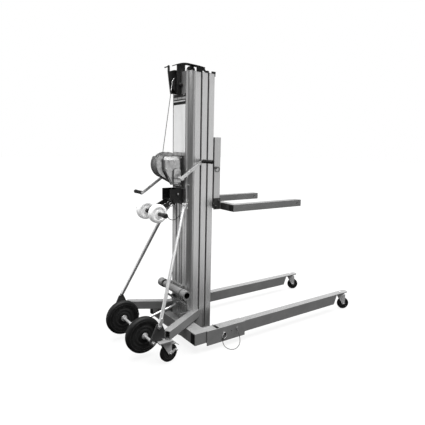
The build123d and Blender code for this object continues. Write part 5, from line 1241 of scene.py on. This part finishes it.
# %% Bars of the crank
CRANK_Y = -55.9
CRANK_Z = 1193.07
CRANK_TURN = math.radians(34.5)
BAR_HALF = 9.5
BAR_ROOT = 10.0
BAR_LENGTH = 205.0
BAR_IN_X = 125.9
BAR_THICKNESS = 8.2 * MM
for hand, side in HANDS:
    along = Vector((0, math.cos(CRANK_TURN), math.sin(CRANK_TURN))) * hand
    across = Vector((0, -math.sin(CRANK_TURN), math.cos(CRANK_TURN)))
    bar_edge = swing(along * BAR_LENGTH * MM, along, across, BAR_HALF * MM, -QUARTER, QUARTER, 12)
    for reach in (BAR_HALF, -BAR_HALF):
        bar_edge.append((along * BAR_ROOT + across * reach) * MM)
    bar = slab(spot(BAR_IN_X * hand, CRANK_Y, CRANK_Z), SIDEWAYS * hand, bar_edge, BAR_THICKNESS)
    joined(f"crank_bar_{side}", [bar], BRIGHT_ZINC, "crank", smooth=False)

# %% Painted groove shade, collars, sleeve shadows and rings
SLOT_PLACES = (-38.0, 12.0, 45.0)
SLOT_HALF = 4.0
SLOT_FOOT_Z = 412.0
SLOT_TOP_Z = 1002.0
SLOT_INSET = 0.2
SLOT_DEPTH = 0.8 * MM
COLLAR_X = 118
COLLAR_PROFILE = ((0, 26.8), (0.5, 28.0), (16.5, 28.0), (17, 26.8))
SLEEVE_X = 340.0
SLEEVE_REAR_Y = 32.0
SLEEVE_SHADOW_WIDTH = 7.0
TUBE_FOOT_Z = 65.0
TUBE_TOP_Z = 149.0
SLEEVE_SHADOW_DEPTH = 0.4 * MM
ARM_RING_X = 51
ARM_RING_Y = -92
ARM_RING_Z = 1008
ARM_RING_R = 13 * MM
ARM_RING_WIRE = 3 * MM
# Thin black strips on the mast's back are painted shade, standing for the shade in three narrow grooves.
groove_shades = []
for x in SLOT_PLACES:
    groove_shade_edge = [Vector(((x + way * SLOT_HALF) * MM, 0, SLOT_FOOT_Z * MM)) for way in (-1, 1)]
    groove_shade_edge += [Vector(((x + way * SLOT_HALF) * MM, 0, SLOT_TOP_Z * MM)) for way in (1, -1)]
    groove_shades.append(slab(spot(0, SLOT_INSET, 0), -FORWARD, groove_shade_edge, SLOT_DEPTH))
joined("mast_groove_shade", groove_shades, BLACK_PAINT, "frame", smooth=False)

# Thin black strips at the rear edge of each leg sleeve are a painted shadow, where the sleeve stands proud of
# the cross tube.
rear_corner = Vector((0, (SLEEVE_REAR_Y - SLEEVE_SHADOW_WIDTH) * MM, TUBE_FOOT_Z * MM))
broad = FORWARD * SLEEVE_SHADOW_WIDTH * MM
tall = UPWARD * (TUBE_TOP_Z - TUBE_FOOT_Z) * MM
sleeve_shadow_edge = [rear_corner, rear_corner + broad, rear_corner + broad + tall, rear_corner + tall]
collars = []
sleeve_shadows = []
arm_rings = []
for hand, _ in HANDS:
    out = SIDEWAYS * hand
    collars.append(turned(spot(COLLAR_X * hand, SOCKET_Y, SOCKET_Z), out, millimetres(COLLAR_PROFILE), 48))
    sleeve_shadows.append(slab(spot(SLEEVE_X * hand, 0, 0), out, sleeve_shadow_edge, SLEEVE_SHADOW_DEPTH))
    ring_centre = spot(ARM_RING_X * hand, ARM_RING_Y, ARM_RING_Z)
    arm_rings.append(ring(ring_centre, SIDEWAYS, ARM_RING_R, ARM_RING_WIRE, 32))
joined("socket_seams", collars, BLACK_PAINT, "frame")
joined("sleeve_painted_shadow", sleeve_shadows, BLACK_PAINT, "frame", smooth=False)
joined("loading_rings", arm_rings, BRIGHT_ZINC, "frame")
print("seams and bars made")

# %% [markdown]
# ## Floor and light
# The machine stands in a white studio. The floor is a plain pale sheet. A broad soft sun overhead makes
# the tops pale. A card on the right lights the right sides, a higher one the braces, and dimmer cards on
# the left, low down and in front fill the rest. A spot from above picks out the plate on the mast's back.
# The sky is white where the camera sees it, and much dimmer where it lights the machine.

# %% Floor
FLOOR_REACH = 40.0
FLOOR_TONE = (0.055, 0.055, 0.055, 1.0)
FLOOR_CORNERS = ((-1, -1), (1, -1), (1, 1), (-1, 1))
floor_mesh = bpy.data.meshes.new("floor")
corners = [(x * FLOOR_REACH, y * FLOOR_REACH, 0) for x, y in FLOOR_CORNERS]
floor_mesh.from_pydata(corners, [], [(0, 1, 2, 3)])
floor = placed("floor", floor_mesh)
floor_finish = bpy.data.materials.new("studio floor")
floor_finish.use_nodes = True
floor_shader = floor_finish.node_tree.nodes["Principled BSDF"]
floor_looks = {"Base Color": FLOOR_TONE, "Roughness": 0.9, "Emission Color": WHITE, "Emission Strength": 0.87}
for label, value in floor_looks.items():
    floor_shader.inputs[label].default_value = value
floor_finish.cycles.emission_sampling = "NONE"
floor_mesh.materials.append(floor_finish)
floor.visible_diffuse = False
floor.visible_glossy = False

# %% Sky and lamps
SKY_SHOWN = 1.0
SKY_LIT = 0.06
SUN_STRENGTH = 2.8 * math.pi
SUN_ANGLE = math.radians(60)
SPOT_POWER = 600.0
SPOT_ANGLE = math.radians(17)
SPOT_BLEND = 0.6
SPOT_RADIUS = 0.35
world = bpy.data.worlds.new("studio")
scene.world = world
world.use_nodes = True
sky = world.node_tree
shown = sky.nodes["Background"]
shown.inputs["Color"].default_value = WHITE
shown.inputs["Strength"].default_value = SKY_SHOWN
lit = add_node(sky, "ShaderNodeBackground", {"Color": WHITE, "Strength": SKY_LIT})
rays = add_node(sky, "ShaderNodeLightPath")
feeds = {0: rays.outputs["Is Camera Ray"], 1: lit.outputs[0], 2: shown.outputs[0]}
choose = add_node(sky, "ShaderNodeMixShader", feeds)
sky.links.new(choose.outputs[0], sky.nodes["World Output"].inputs["Surface"])


def hang(name, data, place, target):
    """Put a lamp at a place, aimed at a target."""
    lamp = placed(name, data)
    lamp.location = place
    lamp.rotation_euler = (Vector(target) - Vector(place)).to_track_quat("-Z", "Y").to_euler()
    lamp.visible_camera = False


def soft_card(name, place, target, width, height, radiance):
    """Bright card that faces a target, as bright to look at as the given radiance."""
    data = bpy.data.lights.new(name, "AREA")
    data.shape = "RECTANGLE"
    data.size = width
    data.size_y = height
    data.energy = radiance * math.pi * width * height
    hang(name, data, place, target)


soft_card("right_card", (4.1, 2.3, 1.15), (0.12, -0.45, 1.15), 2.4, 4.6, 1.1)
soft_card("brace_card", (2.9, -2.15, 3.25), (0.21, -0.7, 0.63), 3.2, 1.2, 2.35)
soft_card("left_card", (-2.44, -4.41, 1.4), (0.0, -0.5, 1.4), 6.4, 3.6, 0.50)
soft_card("low_card", (-0.85, -1.5, 0.355), (0.05, -0.55, 0.45), 2.0, 0.6, 0.55)
soft_card("front_card", (-1.2, 5.2, 1.7), (0.0, 0.0, 1.0), 4.0, 3.0, 0.8)
overhead = bpy.data.lights.new("overhead", "SUN")
overhead.energy = SUN_STRENGTH
overhead.angle = SUN_ANGLE
hang("overhead", overhead, (0.04, 0.10, 1.0), (0.0, 0.0, 0.0))
rear_spot = bpy.data.lights.new("rear_spot", "SPOT")
rear_spot.energy = SPOT_POWER
rear_spot.spot_size = SPOT_ANGLE
rear_spot.spot_blend = SPOT_BLEND
rear_spot.shadow_soft_size = SPOT_RADIUS
hang("rear_spot", rear_spot, (-0.8, -3.6, 4.6), (0.0, -0.55, 1.45))
scene.view_settings.view_transform = "Standard"
scene.view_settings.look = "None"
print("studio set")
